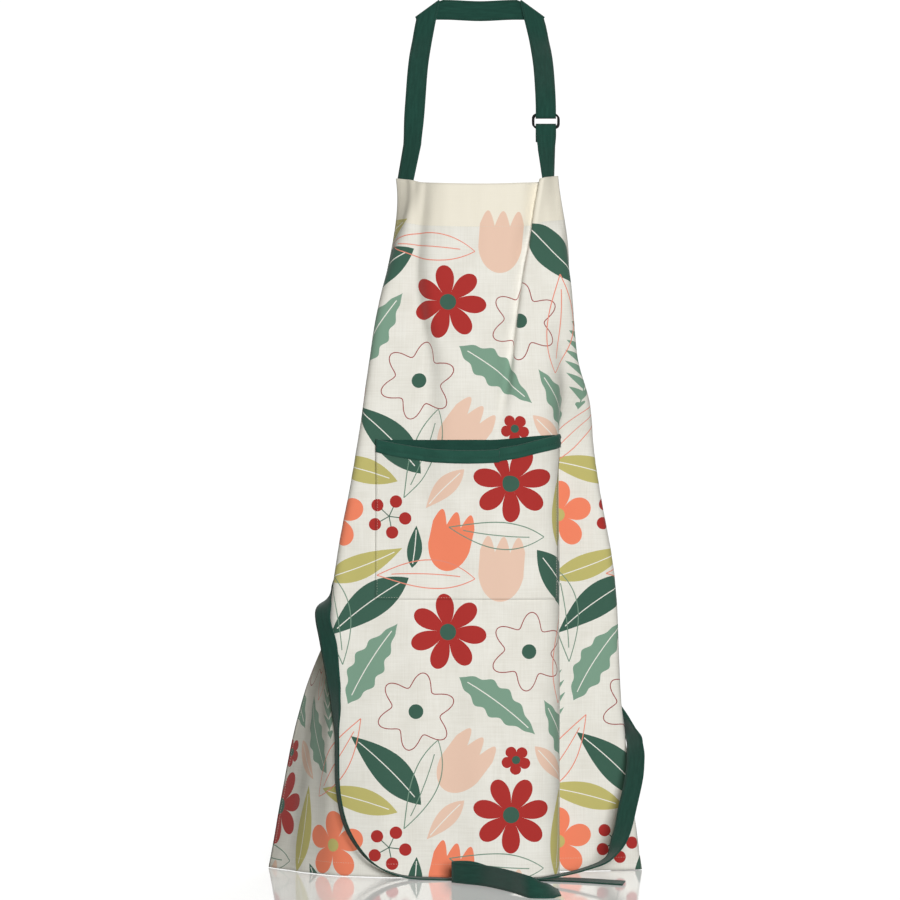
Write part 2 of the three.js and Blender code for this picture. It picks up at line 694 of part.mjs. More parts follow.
// Waist tie: sewn inside the waist corner, past the cloth's edge, folded down outside it, then its route
function tieMesh(name, { side, lying, hanging }) {
  const down = WAIST_DOWN + TAPE_WIDTH / 2 + CORNER_INSET;
  const width = halfWidth(down);
  const edge = clothPoint(side * width, down, BACK_LIFT);
  const inner = clothPoint(side * (width - SEWN_OVERLAP), down, BACK_LIFT);
  const along = edge.clone().sub(inner).normalize();
  const stops = [...lyingStops(lying), ...routeStops(hanging)];
  const turnMiddle = edge.clone().addScaledVector(along, TAPE_WIDTH);
  const leave = stops[0].middle.clone().sub(turnMiddle).normalize();
  const crease = along.clone().add(leave).normalize();
  const outwards = along.clone().addScaledVector(crease, -along.dot(crease)).normalize();
  if (crease.z < 0) crease.negate();
  const half = TAPE_WIDTH / 2 / crease.clone().cross(along).length();
  const outOfCloth = clothPoint(side * width, down, 1).sub(clothPoint(side * width, down));
  const foldedMiddle = turnMiddle.clone().addScaledVector(outOfCloth, TIE_FOLD_OPENING);
  const turnBack = { middle: turnMiddle, across: crease, half };
  const folded = { middle: foldedMiddle, across: crease, half };
  const sewnFlat = side * (width - SEWN_OVERLAP);
  const across = clothPoint(sewnFlat, down - 1).sub(clothPoint(sewnFlat, down + 1)).normalize();
  const sewn = [inner, edge].map((middle) => ({ middle, across, half: TAPE_WIDTH / 2 }));
  const rows = [...sewn, turnBack, ...halfTurnRows(turnBack, folded, outwards), folded, ...routeRows(stops)];
  return makeMesh(name, tapeGeometry(rows), DEEP_GREEN, TAPE_ROUGHNESS);
}

const apron = new THREE.Group();
apron.add(panelMesh(), pocketMesh(), pocketBindingMesh(), pocketBackBandMesh());
apron.add(neckStrapMesh(), strapTabMesh(), ...RINGS.map(ringMesh));
apron.add(tieMesh('left_tie', LEFT_TIE), tieMesh('right_tie', RIGHT_TIE));

export default apron;
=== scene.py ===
import math
from functools import lru_cache

import bmesh
import bpy
import numpy as np
from mathutils import Matrix, Vector, noise


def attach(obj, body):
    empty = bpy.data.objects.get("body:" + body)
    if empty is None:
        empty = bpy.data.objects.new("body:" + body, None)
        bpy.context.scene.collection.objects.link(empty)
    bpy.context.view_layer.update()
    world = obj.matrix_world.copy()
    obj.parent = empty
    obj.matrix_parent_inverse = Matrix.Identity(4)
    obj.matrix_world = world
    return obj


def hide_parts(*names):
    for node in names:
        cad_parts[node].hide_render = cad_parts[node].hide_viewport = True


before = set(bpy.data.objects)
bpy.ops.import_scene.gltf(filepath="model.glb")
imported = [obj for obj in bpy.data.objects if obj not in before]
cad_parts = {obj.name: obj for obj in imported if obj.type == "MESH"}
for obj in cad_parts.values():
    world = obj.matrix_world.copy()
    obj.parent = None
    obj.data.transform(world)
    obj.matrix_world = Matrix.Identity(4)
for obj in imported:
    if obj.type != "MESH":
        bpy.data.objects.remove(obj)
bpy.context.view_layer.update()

# Lengths in the tables are millimetres; the scene is in metres.
MM = 0.001

# Flat sizes of the cut cloth
APRON_LENGTH = 854.0
BIB_HALF_WIDTH = 120.0
WAIST_HALF_WIDTH = 295.0
HEM_HALF_WIDTH = 314.0
WAIST_DOWN = 320.0
CLOTH_THICKNESS = 1.2

# Where the cloth hangs
BIB_TOP_Z = -206.2
HEM_Z = -1059.6
TOP_EDGE_SAG = 7.0
SAG_FADE_DOWN = 200.0
CORNER_RISE = {"left": 2.5, "right": 4.0}
CORNER_FROM = 74.0
CORNER_OVER = 24.0

# Small waves of the hanging cloth, fanned out with its width and stronger on the skirt
SKIRT_WAVES_FROM = 300.0
SKIRT_WAVES_OVER = 260.0
BIB_WAVES = 0.25
WAVE_FAN = 2.2
BROAD_WAVE = 1.3
BROAD_SPAN = 15.0
BROAD_SWAY = 0.5
BROAD_SWAY_DOWN = 120.0
BROAD_START = 1.1
NARROW_WAVE = 0.8
NARROW_SPAN = 8.3
NARROW_DRIFT = 150.0
NARROW_START = 0.4

# Gathers under the left strap's sewn end
GATHER_HEIGHT = 0.8
GATHER_SPAN = 3.2
GATHER_AT = -88.0
GATHER_HALF = 14.0
GATHER_FADE_DOWN = 45.0

# Uneven cloth, broad and fine: height, size across, size down, place in the random field
UNEVEN = ((0.7, 34.0, 60.0, 3.7), (0.16, 13.0, 17.0, 8.1))

# Hems
TOP_HEM = 54.0
SIDE_HEM = 7.0
BOTTOM_HEM = 16.0
HEM_STAND = 0.35
HEM_STEP = 3.0

# Tape of the straps, ties and bindings
TAPE_WIDTH = 25.0
TAPE_THICKNESS = 1.4
BINDING_THICKNESS = 1.0
BINDING_HEIGHT = 15.0
BINDING_EDGE_RISE = 0.7
BINDING_STEPS = 6
BINDING_MAP_STEP = 0.8
GAP = 0.3
SEWN_GAP = 0.9
SEWN_OVERLAP = 22.0
CORNER_INSET = 2.0
MITRE_HALF = 18.5
TAB_SLANT = 3.0
TIE_FOLD_OPENING = 6.4
BACK_LIFT = -(CLOTH_THICKNESS / 2 + SEWN_GAP + TAPE_THICKNESS / 2)

# Distances below the bib's top edge that the columns of the fold tables stand for
STATIONS = (0, 130, 225, 320, 500, 640, 854)
CENTRE_DEPTH = (-140, -147, -150, -152, -154, -156, -158)
ROUND_OVER = 90.0

# Folds on each side of the centre line: flat place, flat length of the bend, degrees turned to the back
FOLDS = {
    "right": (
        ((53, 30, 17, 4, 20, 20, 20), (24, 30, 30, 24, 20, 20, 20), (30, 32, 30, 14, 0, 0, 0)),
        ((77, 53, 39, 24, 40, 40, 40), (10, 12, 12, 14, 14, 14, 14), (-142, -130, -107, -38, 0, 0, 0)),
        ((89, 66, 52, 38, 60, 60, 60), (10, 12, 12, 14, 14, 14, 14), (154, 98, 77, 24, 0, 0, 0)),
        ((98, 90, 92, 96, 96, 96, 96), (4, 20, 44, 70, 72, 72, 72), (0, 0, 46, 96, 102, 104, 102)),
        ((101, 104, 120, 148, 151, 153, 151), (2, 16, 20, 22, 22, 22, 22), (0, 0, -42, -92, -97, -99, -96)),
        ((118, 123, 139, 197, 233, 245, 269), (8, 24, 24, 24, 20, 14, 12), (0, 92, 100, 108, 112, 125, 140)),
    ),
    "left": (
        ((56, 64, 46, 42, 50, 50, 50), (16, 20, 22, 24, 24, 24, 24), (24, 42, 38, 18, 0, 0, 0)),
        ((71, 82, 66, 64, 80, 80, 80), (8, 10, 14, 18, 12, 12, 12), (-26, -48, -42, -20, 0, 0, 0)),
        ((76, 123, 139, 150, 178, 176, 168), (18, 26, 24, 24, 24, 34, 96), (20, 94, 100, 102, 93, 68, 42)),
        ((112, 146, 192, 268, 276, 284, 284), (8, 24, 24, 24, 30, 36, 50), (0, 0, 0, 0, 0, 4, 16)),
    ),
}
FRONT_ROUND = {"right": (8, 6, 6, 6, 6, 6, 6), "left": (26, 10, 8, 6, 5, 4, 6)}

# Pocket: place on the cloth, how far it stands off towards the mouth, how far the mouth sags and tilts
POCKET_TOP = 320.5
POCKET_DEPTH = 195.0
POCKET_LEFT = -128.0
POCKET_RIGHT = 98.0
POCKET_WIDTH = POCKET_RIGHT - POCKET_LEFT
POCKET_BULGE = 14.0
POCKET_BULGE_POWER = 1.5
POCKET_SAG = 14.0
POCKET_RISE = 3.4
POCKET_RISE_OVER = 45.0
MOUTH_TILT = 6.0
MOUTH_TILT_FROM = 10.0
MOUTH_TILT_OVER = 85.0

# Crumple at the right end of the pocket's binding
END_CRUMPLE = 1.2
END_CRUMPLE_REACH = 16.0
END_CRUMPLE_OVER = 10.0
END_CRUMPLE_WAVE = 0.9

# Oval wire rings of the strap's adjuster
RING_HALF_WIDTH = 15.6
RING_HALF_HEIGHT = 8.6
RING_WIRE = 1.15
RING_SQUARENESS = 4.0
RINGS = {"ring_front": (80.9, -106.4, -133.7), "ring_back": (82.0, -103.6, -134.7)}

# Routes of the tapes: middle x, y, z; the width turned about the vertical and risen, in degrees
LEFT_LEG = (
    (-83.1, -90, -161.8, -30, 0),
    (-79.7, -74, -110, -4, -4),
    (-75.8, -45, -56.8, 0, -5),
    (-69.9, -18, -18.4, 0, 14),
    (-64.2, -9.2, 13.2, 0, 36),
)
NECK_BAR = (
    (-64.2, -6, 13.6, 0, 36),
    (-38, -3, 13.8, 0, 80),
    (1.2, 0, 12.5, 0, 90),
    (40.3, -3, 13.8, 0, 100),
    (66.3, -6, 13.5, 0, 144),
)
RIGHT_LEG = (
    (66.3, -9.2, 13.1, 0, 144),
    (73.3, -18, -18.4, 0, 168),
    (78.7, -54, -54.6, 0, 184),
    (80.9, -94, -95.5, 0, 184),
    (81.4, -106.5, -116.6, 0, 180),
    (81.4, -108.7, -127.1, 0, 180),
)
RIGHT_LEG_TAIL = (
    (81.5, -101.3, -126.5, 0, 180),
    (81.6, -99.2, -116, 0, 180),
    (81.1, -90, -97, 0, 184),
)
TAPE_BOX = (3.0, 9.0)
TAB_SEAM_Z = -152.0
TAB_FRONT = (
    (82, -115.5, -169.8, 34, 0),
    (81.4, -108.7, -142, 0, 0),
)
TAB_BACK = (
    (81.5, -101, -141.4, 0, 0),
    (81.4, -101.4, -149, 6, 0),
    (81.2, -105.6, -160, 15, 0),
)

# Ties: stretch lying on the cloth as flat place, distance down and lift, then a free route
LEFT_TIE_LYING = (
    (-275, 372, 5),
    (-254, 432, 5),
    (-234, 496, 6),
)
LEFT_TIE_HANGING = (
    (-192.3, -138, -740, 134, 0),
    (-185.3, -143, -774.7, 144, 0),
    (-178.9, -152, -819.4, 131, 0),
    (-176, -157, -845.9, 119, 0),
    (-174.2, -164, -885.7, 102, 0),
    (-172, -168, -956.9, 102, 0),
    (-160, -174, -1001.9, 104, 0),
    (-132, -178, -1038.9, 103, 0),
    (-98, -179, -1054.9, 97, 0),
    (-50, -178, -1059.1, 90, 0),
    (40, -180, -1059.1, 90, 0),
    (110, -200, -1058.2, 82, 4),
    (172, -236, -1058.2, 80, 4),
)
RIGHT_TIE_LYING = (
    (286, 385, 5),
    (286, 460, 5),
    (284, 550, 6),
)
RIGHT_TIE_HANGING = (
    (161.9, -42.4, -850.3, -43, 0),
    (186.4, -64.8, -882.8, -71, 0),
    (191.4, -86, -899, -58, 0),
    (192, -106, -918, -41, 0),
    (189.1, -124, -941.1, -33, 0),
    (180.6, -146, -973.6, -31, 0),
    (170.8, -168, -1008.1, -39, 0),
    (155.5, -186, -1033.7, -76, 0),
    (126.6, -200, -1044.9, -85, 0),
    (91.3, -208, -1052.5, -88, 0),
    (58, -214, -1055.9, -88, 4),
    (20, -214, -1050.6, -88, 40),
    (-15, -214, -1046, -88, 80),
    (-34, -227, -1045.6, -88, 90),
    (-22, -243, -1045.6, -88, 92),
    (2, -268, -1045.6, -88, 94),
    (34, -330, -1045.9, -88, 98),
    (57.7, -377, -1048.4, -88, 118),
    (72.8, -378, -1052, -88, 140),
    (91.5, -362, -1055.9, -84, 172),
)

# Own floral print: places of each motif across and down one repeat, with its turn in degrees
REPEAT = (346.0, 404.0)
LARGE_LAYOUT = {
    "coral_daisy": [(162, 9, 128)],
    "coral_tulip": [(310, 40, 283)],
    "deep_leaf": [(111, 94, 46), (231, 320, 224), (211, 120, 144)],
    "olive_leaf": [(101, 397, 275), (201, 68, 339), (193, 358, 194)],
    "peach_tulip": [(326, 311, 307), (26, 74, 274)],
    "red_berries": [(235, 10, 7)],
    "red_daisy": [(307, 151, 263), (38, 374, 142)],
    "sage_fern": [(147, 218, 79)],
    "sage_oak": [(215, 190, 302), (21, 241, 37), (115, 280, 232)],
    "white_daisy": [(60, 175, 335), (268, 248, 342)],
    "peach_petal": [(304, 380, 134), (91, 313, 43)],
    "small_red_flower": [(44, 307, 237)],
    "deep_petal": [(133, 57, 240), (266, 47, 276)],
}
LINE_LAYOUT = {
    "coral_line_leaf": [(166, 306, 305), (280, 84, 182), (107, 179, 274)],
    "grey_line_leaf": [(274, 337, 111), (168, 134, 80), (20, 29, 186)],
}

# Half length and half width of each motif
MOTIF_SIZES = {
    "red_daisy": (48, 48),
    "coral_daisy": (42, 42),
    "deep_leaf": (62, 25),
    "sage_oak": (60, 26),
    "olive_leaf": (56, 19),
    "peach_tulip": (45, 34),
    "coral_tulip": (42, 31),
    "sage_fern": (66, 26),
    "red_berries": (29, 29),
    "white_daisy": (50, 50),
    "peach_petal": (34, 14),
    "small_red_flower": (19, 19),
    "deep_petal": (27, 11),
    "coral_line_leaf": (62, 21),
    "grey_line_leaf": (62, 21),
}

# No motif has its middle on the folded hem of the bib
PRINT_TOP = 62.0
MOTIF_CODES = {name: code for code, name in enumerate(MOTIF_SIZES, start=1)}
REPEATS_ACROSS = range(-3, 4)
REPEATS_DOWN = range(-1, 5)

# Daisies: ink, petals, reach of their tips, reach between them, ink and radius of the eye
DAISIES = (
    ("red_daisy", "red", 7, 47, 12, "deep", 10),
    ("small_red_flower", "red", 5, 18, 9, "deep", 5),
    ("coral_daisy", "coral", 5, 42, 11, "olive", 8),
)

# Leaves: ink, half length, half width, bend, depth of the lobes
LEAVES = (
    ("deep_leaf", "deep", 60, 20, 4, 0.0),
    ("sage_oak", "sage", 58, 18, -4, 0.14),
    ("olive_leaf", "olive", 54, 15, 3, 0.0),
    ("peach_petal", "peach", 33, 11, 1, 0.0),
    ("deep_petal", "deep", 26, 9, 1, 0.0),
)
LINE_LEAVES = (
    ("coral_line_leaf", "coral_line", 60, 17, 4),
    ("grey_line_leaf", "grey_line", 58, 16, -4),
)
LINE_RIB_SHARE = 0.7

# Tulips and ferns by half length and half width; berries by count, place and radius
TULIPS = (("peach_tulip", "peach", 40, 28), ("coral_tulip", "coral", 37, 26))
FERN = (66, 26)
FERN_PITCH = 14.0
BERRIES = (5, 20.0, 7.6)

# Outline flower: petals, middle reach, swing of the edge, radius of the eye
OUTLINE_FLOWER = (6, 39, 9)
OUTLINE_EYE = 9


def linear(red, green, blue):
    """Colour for a shader from the 0 to 255 values of a picture."""
    def one(value):
        part = value / 255
        return part / 12.92 if part <= 0.04045 else ((part + 0.055) / 1.055) ** 2.4
    return (one(red), one(green), one(blue), 1.0)


CREAM = linear(235, 233, 226)
CREAM_HEM = linear(238, 231, 214)
CREAM_SLUB = linear(212, 208, 197)
REVERSE_CREAM = linear(218, 214, 202)
TAPE_GREEN = linear(20, 61, 51)
TAPE_GREEN_LIGHT = linear(34, 81, 69)
BINDING_GREEN = linear(30, 74, 62)
BINDING_GREEN_LIGHT = linear(44, 90, 77)
RING_DARK = linear(13, 13, 13)
RING_WORN = linear(30, 29, 28)
THREAD_CREAM = linear(226, 223, 211)
THREAD_GREEN = linear(16, 46, 38)
INK = {
    "deep": linear(50, 88, 73),
    "sage": linear(121, 155, 135),
    "red": linear(168, 38, 34),
    "coral": linear(240, 132, 98),
    "peach": linear(231, 197, 177),
    "olive": linear(190, 182, 110),
    "dark_red_line": linear(150, 62, 62),
    "coral_line": linear(230, 138, 118),
    "grey_line": linear(110, 140, 122),
}


# Cloth shape


def smooth(part):
    part = np.clip(part, 0.0, 1.0)
    return part * part * (3.0 - 2.0 * part)


def at_down(values, down):
    """Value of a table's row between the stations, with a slope that runs on through each station."""
    last = len(STATIONS) - 1

    def slope(i):
        before, after = max(0, i - 1), min(last, i + 1)
        return (values[after] - values[before]) / (STATIONS[after] - STATIONS[before])

    i = 0
    while i < last - 1 and down > STATIONS[i + 1]:
        i += 1
    span = STATIONS[i + 1] - STATIONS[i]
    p = min(1.0, max(0.0, (down - STATIONS[i]) / span))
    start = values[i] * (2 * p**3 - 3 * p**2 + 1) + slope(i) * span * (p**3 - 2 * p**2 + p)
    end = values[i + 1] * (3 * p**2 - 2 * p**3) + slope(i + 1) * span * (p**3 - p**2)
    return start + end


def half_width(down):
    """Half of the cut cloth's width: the armhole curves out from the bib to the waist."""
    if down >= WAIST_DOWN:
        part = (down - WAIST_DOWN) / (APRON_LENGTH - WAIST_DOWN)
        return WAIST_HALF_WIDTH + (HEM_HALF_WIDTH - WAIST_HALF_WIDTH) * part
    curve = 1 - math.cos(math.pi / 2 * down / WAIST_DOWN)
    return BIB_HALF_WIDTH + (WAIST_HALF_WIDTH - BIB_HALF_WIDTH) * curve


FLAT_STEP = 1.0


@lru_cache(maxsize=None)
def side_run(down, side):
    """One side of a level section: flat distance, way out, way back and heading."""
    flat = np.arange(0.0, half_width(down) + 2 * FLAT_STEP, FLAT_STEP)
    heading = np.zeros_like(flat)
    middle = np.zeros_like(flat)
    turns = [[at_down(row, down) for row in fold] for fold in FOLDS[side]]
    turns.append([ROUND_OVER / 2, ROUND_OVER, at_down(FRONT_ROUND[side], down)])
    for at, over, turn in turns:
        start = at - over / 2
        heading += math.radians(turn) * smooth((flat - start) / over)
        middle += math.radians(turn) * smooth((flat + FLAT_STEP / 2 - start) / over)
    out = np.concatenate(([0.0], np.cumsum(np.cos(middle[:-1]) * FLAT_STEP)))
    back = np.concatenate(([0.0], np.cumsum(np.sin(middle[:-1]) * FLAT_STEP)))
    return flat, out, back, heading


def ripple(flats, down):
    """Small waves of the hanging cloth, as a lift in millimetres."""
    skirt = float(smooth((down - SKIRT_WAVES_FROM) / SKIRT_WAVES_OVER))
    fan = flats * BIB_HALF_WIDTH / half_width(down) * WAVE_FAN
    sway = BROAD_SWAY * math.sin(down / BROAD_SWAY_DOWN)
    waves = BROAD_WAVE * np.sin(fan / BROAD_SPAN + sway + BROAD_START)
    waves += NARROW_WAVE * np.sin(fan / NARROW_SPAN - down / NARROW_DRIFT + NARROW_START)
    near = np.exp(-(((flats - GATHER_AT) / GATHER_HALF) ** 2)) * math.exp(-down / GATHER_FADE_DOWN)
    lift = (BIB_WAVES + (1 - BIB_WAVES) * skirt) * waves
    lift += GATHER_HEIGHT * np.sin(flats / GATHER_SPAN) * near
    for height, across, along, field in UNEVEN:
        lift += height * np.array([noise.noise(Vector((f / across, down / along, field))) for f in flats])
    return lift


def cloth_row(flats, down, lift=0.0):
    """Places of one row of the cloth, in millimetres, moved out of its middle by lift."""
    flats = np.asarray(flats, float)
    level = round(min(APRON_LENGTH, max(0.0, down)), 3)
    lifts = np.zeros(len(flats)) + lift + ripple(flats, level)
    places = np.zeros((len(flats), 3))
    across = np.minimum(1.0, np.abs(flats) / BIB_HALF_WIDTH)
    sag = TOP_EDGE_SAG * (1 - across**2)
    rise = np.where(flats < 0, CORNER_RISE["left"], CORNER_RISE["right"])
    sag -= rise * smooth((np.abs(flats) - CORNER_FROM) / CORNER_OVER)
    sag *= 1 - float(smooth(level / SAG_FADE_DOWN))
    for side, sign in (("left", -1.0), ("right", 1.0)):
        mine = flats >= 0 if sign > 0 else flats < 0
        flat, out, back, heading = side_run(level, side)
        way = np.abs(flats[mine])
        turned = np.interp(way, flat, heading)
        places[mine, 0] = sign * (np.interp(way, flat, out) + lifts[mine] * np.sin(turned))
        places[mine, 1] = np.interp(way, flat, back) - lifts[mine] * np.cos(turned)
    places[:, 1] += at_down(CENTRE_DEPTH, level)
    places[:, 2] = BIB_TOP_Z + (HEM_Z - BIB_TOP_Z) * down / APRON_LENGTH - sag
    return places


def cloth_point(flat, down, lift=0.0):
    return cloth_row([flat], down, lift)[0]


def mouth_share(flat):
    middle = (POCKET_LEFT + POCKET_RIGHT) / 2
    half = POCKET_WIDTH / 2
    return np.maximum(0.0, 1 - ((np.asarray(flat) - middle) / half) ** 2)


def mouth_tilt(flat):
    return MOUTH_TILT * smooth((np.asarray(flat) - MOUTH_TILT_FROM) / MOUTH_TILT_OVER)


def mouth_down(flat):
    return POCKET_TOP + POCKET_SAG * mouth_share(flat) - mouth_tilt(flat)


def pocket_lift(flat, down):
    part = np.clip((POCKET_TOP + POCKET_DEPTH - down) / POCKET_DEPTH, 0.0, 1.0)
    rise_end = POCKET_TOP + BINDING_HEIGHT + POCKET_RISE_OVER
    rise = POCKET_RISE * smooth((rise_end - down) / POCKET_RISE_OVER)
    return CLOTH_THICKNESS + GAP + rise + POCKET_BULGE * mouth_share(flat) * part**POCKET_BULGE_POWER


# Making of pieces


def linked(name, data):
    made = bpy.data.objects.new(name, data)
    bpy.context.scene.collection.objects.link(made)
    return made


def finished(name, bm, materials):
    """An object at the origin from a bmesh in millimetres."""
    bmesh.ops.scale(bm, verts=bm.verts[:], vec=(MM, MM, MM))
    mesh = bpy.data.meshes.new(name)
    bm.to_mesh(mesh)
    bm.free()
    for material in materials:
        mesh.materials.append(material)
    for polygon in mesh.polygons:
        polygon.use_smooth = True
    piece = linked(name, mesh)
    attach(piece, "root")
    return piece


def thickened(piece, thickness, reverse_slot=0):
    wall = piece.modifiers.new("wall", "SOLIDIFY")
    wall.thickness = thickness * MM
    wall.offset = 0.0
    wall.use_even_offset = False
    wall.material_offset = reverse_slot


def laid_motifs(layout):
    """Every repeat of the print that reaches the cloth: place, turn, half sizes and code."""
    rows = []
    for column in REPEATS_ACROSS:
        for line in REPEATS_DOWN:
            for name, places in layout.items():
                for across, down, turn in places:
                    x = across + column * REPEAT[0]
                    y = down + line * REPEAT[1]
                    if y >= PRINT_TOP:
                        rows.append((x, y, math.radians(turn), *MOTIF_SIZES[name], MOTIF_CODES[name]))
    return np.array(rows)


def lay_print(bm, name, layout, flats, downs):
    """Gives each face the motif that is nearest to it, as the place within that motif and its code."""
    layer = bm.loops.layers.float_vector.new(name)
    motifs = laid_motifs(layout)
    bm.verts.index_update()
    faces = bm.faces[:]
    corners = np.array([[v.index for v in face.verts] for face in faces])
    middle_x, middle_y = flats[corners].mean(axis=1), downs[corners].mean(axis=1)
    nearest = np.full(len(faces), np.inf)
    chosen = np.zeros(len(faces), int)
    for index, (x, y, turn, long, wide, _) in enumerate(motifs):
        c, s = math.cos(turn), math.sin(turn)
        along = ((middle_x - x) * c + (middle_y - y) * s) / long
        aside = ((middle_y - y) * c - (middle_x - x) * s) / wide
        reach = np.hypot(along, aside)
        closer = reach < nearest
        nearest[closer], chosen[closer] = reach[closer], index
    for face, index in zip(faces, chosen):
        x, y, turn, _, _, code = motifs[index]
        c, s = math.cos(turn), math.sin(turn)
        for loop in face.loops:
            dx, dy = flats[loop.vert.index] - x, downs[loop.vert.index] - y
            loop[layer] = (dx * c + dy * s, dy * c - dx * s, code)


LEVEL_WITHIN = 1e-6


def cloth_sheet(name, columns, rows, flats_at, lift_at, materials):
    """A sheet of the printed cloth: a grid whose rows are laid on the hanging cloth."""
    bm = bmesh.new()
    bmesh.ops.create_grid(bm, x_segments=columns, y_segments=rows, size=1.0)
    bm.verts.ensure_lookup_table()
    count = len(bm.verts)
    share = np.array([((v.co.x + 1) / 2, (1 - v.co.y) / 2) for v in bm.verts])
    flats, downs = np.zeros(count), np.zeros(count)
    places = np.zeros((count, 3))
    line_of = np.rint(share[:, 1] * rows).astype(int)
    for line in range(rows + 1):
        mine = np.where(line_of == line)[0]
        flats[mine], downs[mine] = flats_at(share[mine, 0], line / rows)
        if np.ptp(downs[mine]) < LEVEL_WITHIN:
            places[mine] = cloth_row(flats[mine], downs[mine[0]], lift_at(flats[mine], downs[mine[0]]))
        else:
            for one in mine:
                places[one] = cloth_point(flats[one], downs[one], lift_at(flats[one], downs[one]))
    cut = bm.loops.layers.uv.new("cut")
    for face in bm.faces:
        for loop in face.loops:
            index = loop.vert.index
            loop[cut].uv = (flats[index] * MM, downs[index] * MM)
    lay_print(bm, "large_motifs", LARGE_LAYOUT, flats, downs)
    lay_print(bm, "line_motifs", LINE_LAYOUT, flats, downs)
    for vertex, place in zip(bm.verts, places):
        vertex.co = place
    return finished(name, bm, materials)


# Tapes


def across_vector(turn, rise):
    turn, rise = math.radians(turn), math.radians(rise)
    return Vector((math.cos(rise) * math.cos(turn), math.cos(rise) * math.sin(turn), math.sin(rise)))


def route_stops(table):
    return [(Vector((x, y, z)), across_vector(turn, rise)) for x, y, z, turn, rise in table]


TAPE_STEP = 4.0
TAPE_CELLS = 8
FEWEST_STEPS = 3
SHORTEST_SPAN = 1e-4
ROUTE_NUDGE = 0.01
FOLD_STEPS = 8
SEWN_ROWS = 6
TIE_SEWN_STEPS = 4


def curve_point(points, place):
    """Point of a smooth curve through points, with steps by the square root of their spacing."""
    last = len(points) - 1
    i = min(int(place), last - 1)
    h = place - i
    p1, p2 = points[i], points[i + 1]
    p0 = points[i - 1] if i > 0 else p1 * 2 - p2
    p3 = points[i + 2] if i + 2 <= last else p2 * 2 - p1
    spans = ((p0, p1), (p1, p2), (p2, p3))
    d0, d1, d2 = [math.sqrt(max(SHORTEST_SPAN, (b - a).length)) for a, b in spans]
    t1 = ((p1 - p0) / d0 - (p2 - p0) / (d0 + d1) + (p2 - p1) / d1) * d1
    t2 = ((p2 - p1) / d1 - (p3 - p1) / (d1 + d2) + (p3 - p2) / d2) * d1
    return (
        p1 * (2 * h**3 - 3 * h**2 + 1)
        + t1 * (h**3 - 2 * h**2 + h)
        + p2 * (3 * h**2 - 2 * h**3)
        + t2 * (h**3 - h**2)
    )


def route_rows(stops):
    """Rows along a route: middle, across, half width. A slanted row is longer so the tape keeps its width."""
    points = [stop[0] for stop in stops]
    rows = []
    for i in range(len(stops) - 1):
        steps = max(FEWEST_STEPS, math.ceil((points[i + 1] - points[i]).length / TAPE_STEP))
        for k in range(steps + (i == len(stops) - 2)):
            place = i + k / steps
            across = stops[i][1].lerp(stops[i + 1][1], float(smooth(k / steps))).normalized()
            ahead = curve_point(points, min(len(points) - 1, place + ROUTE_NUDGE))
            behind = curve_point(points, max(0.0, place - ROUTE_NUDGE))
            slant = across.cross((ahead - behind).normalized()).length
            rows.append((curve_point(points, place), across, TAPE_WIDTH / 2 / slant))
    return rows


def half_turn(start, end, outwards):
    """Rows of tape folded back round the line across it."""
    centre = (start[0] + end[0]) / 2
    arm = start[0] - centre
    rows = []
    for k in range(1, FOLD_STEPS):
        angle = math.pi * k / FOLD_STEPS
        middle = centre + arm * math.cos(angle) + outwards * arm.length * math.sin(angle)
        rows.append((middle, start[1], start[2]))
    return rows


def sewn_rows(low_flat, high_flat):
    """Rows of tape sewn to the back of the bib, running up to its top edge."""
    rows = []
    for flat, down in np.linspace((low_flat, SEWN_OVERLAP), (high_flat, CORNER_INSET), SEWN_ROWS):
        across = Vector(cloth_point(flat + 1, down) - cloth_point(flat - 1, down)).normalized()
        rows.append((Vector(cloth_point(flat, down, BACK_LIFT)), across, TAPE_WIDTH / 2))
    return rows


def strip(columns, rows, map_at, place_at):
    """Grid with one line of corners for each row; each corner is laid by its row and place across."""
    last = len(rows) - 1
    bm = bmesh.new()
    bmesh.ops.create_grid(bm, x_segments=columns, y_segments=last, size=1.0)
    cut = bm.loops.layers.uv.new("cut")

    def spot(vertex):
        return round((1 - vertex.co.y) / 2 * last), vertex.co.x

    for face in bm.faces:
        for loop in face.loops:
            across, along = map_at(*spot(loop.vert))
            loop[cut].uv = (across * MM, along * MM)
    for vertex in bm.verts:
        vertex.co = place_at(*spot(vertex))
    return bm


def tape(name, node, rows, material):
    """A flat woven tape along rows, with its width and its run as a map for the weave and stitches."""
    run = np.concatenate(([0.0], np.cumsum([(b[0] - a[0]).length for a, b in zip(rows, rows[1:])])))

    def map_at(line, side):
        return side * TAPE_WIDTH / 2, run[line]

    def place_at(line, side):
        middle, across, half = rows[line]
        return middle + across * (half * side)

    bm = strip(TAPE_CELLS, rows, map_at, place_at)
    piece = finished(name, bm, [material])
    thickened(piece, TAPE_THICKNESS)
    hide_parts(node)
    return piece


def neck_strap_rows():
    left, bar = route_rows(route_stops(LEFT_LEG)), route_rows(route_stops(NECK_BAR))
    right, tail = route_rows(route_stops(RIGHT_LEG)), route_rows(route_stops(RIGHT_LEG_TAIL))

    for rows, crease in ((left, -1), (bar, 0), (bar, -1), (right, 0)):
        rows[crease] = (*rows[crease][:2], MITRE_HALF)

    def out_of_fold(row):
        return Vector((-row[1].z, 0.0, row[1].x))

    flat = -(BIB_HALF_WIDTH - TAPE_WIDTH / 2)
    return [
        *sewn_rows(flat, flat),
        *left,
        *half_turn(left[-1], bar[0], out_of_fold(left[-1])),
        *bar,
        *half_turn(bar[-1], right[0], -out_of_fold(bar[-1])),
        *right,
        *half_turn(right[-1], tail[0], Vector((0, 0, -1))),
        *tail,
    ]


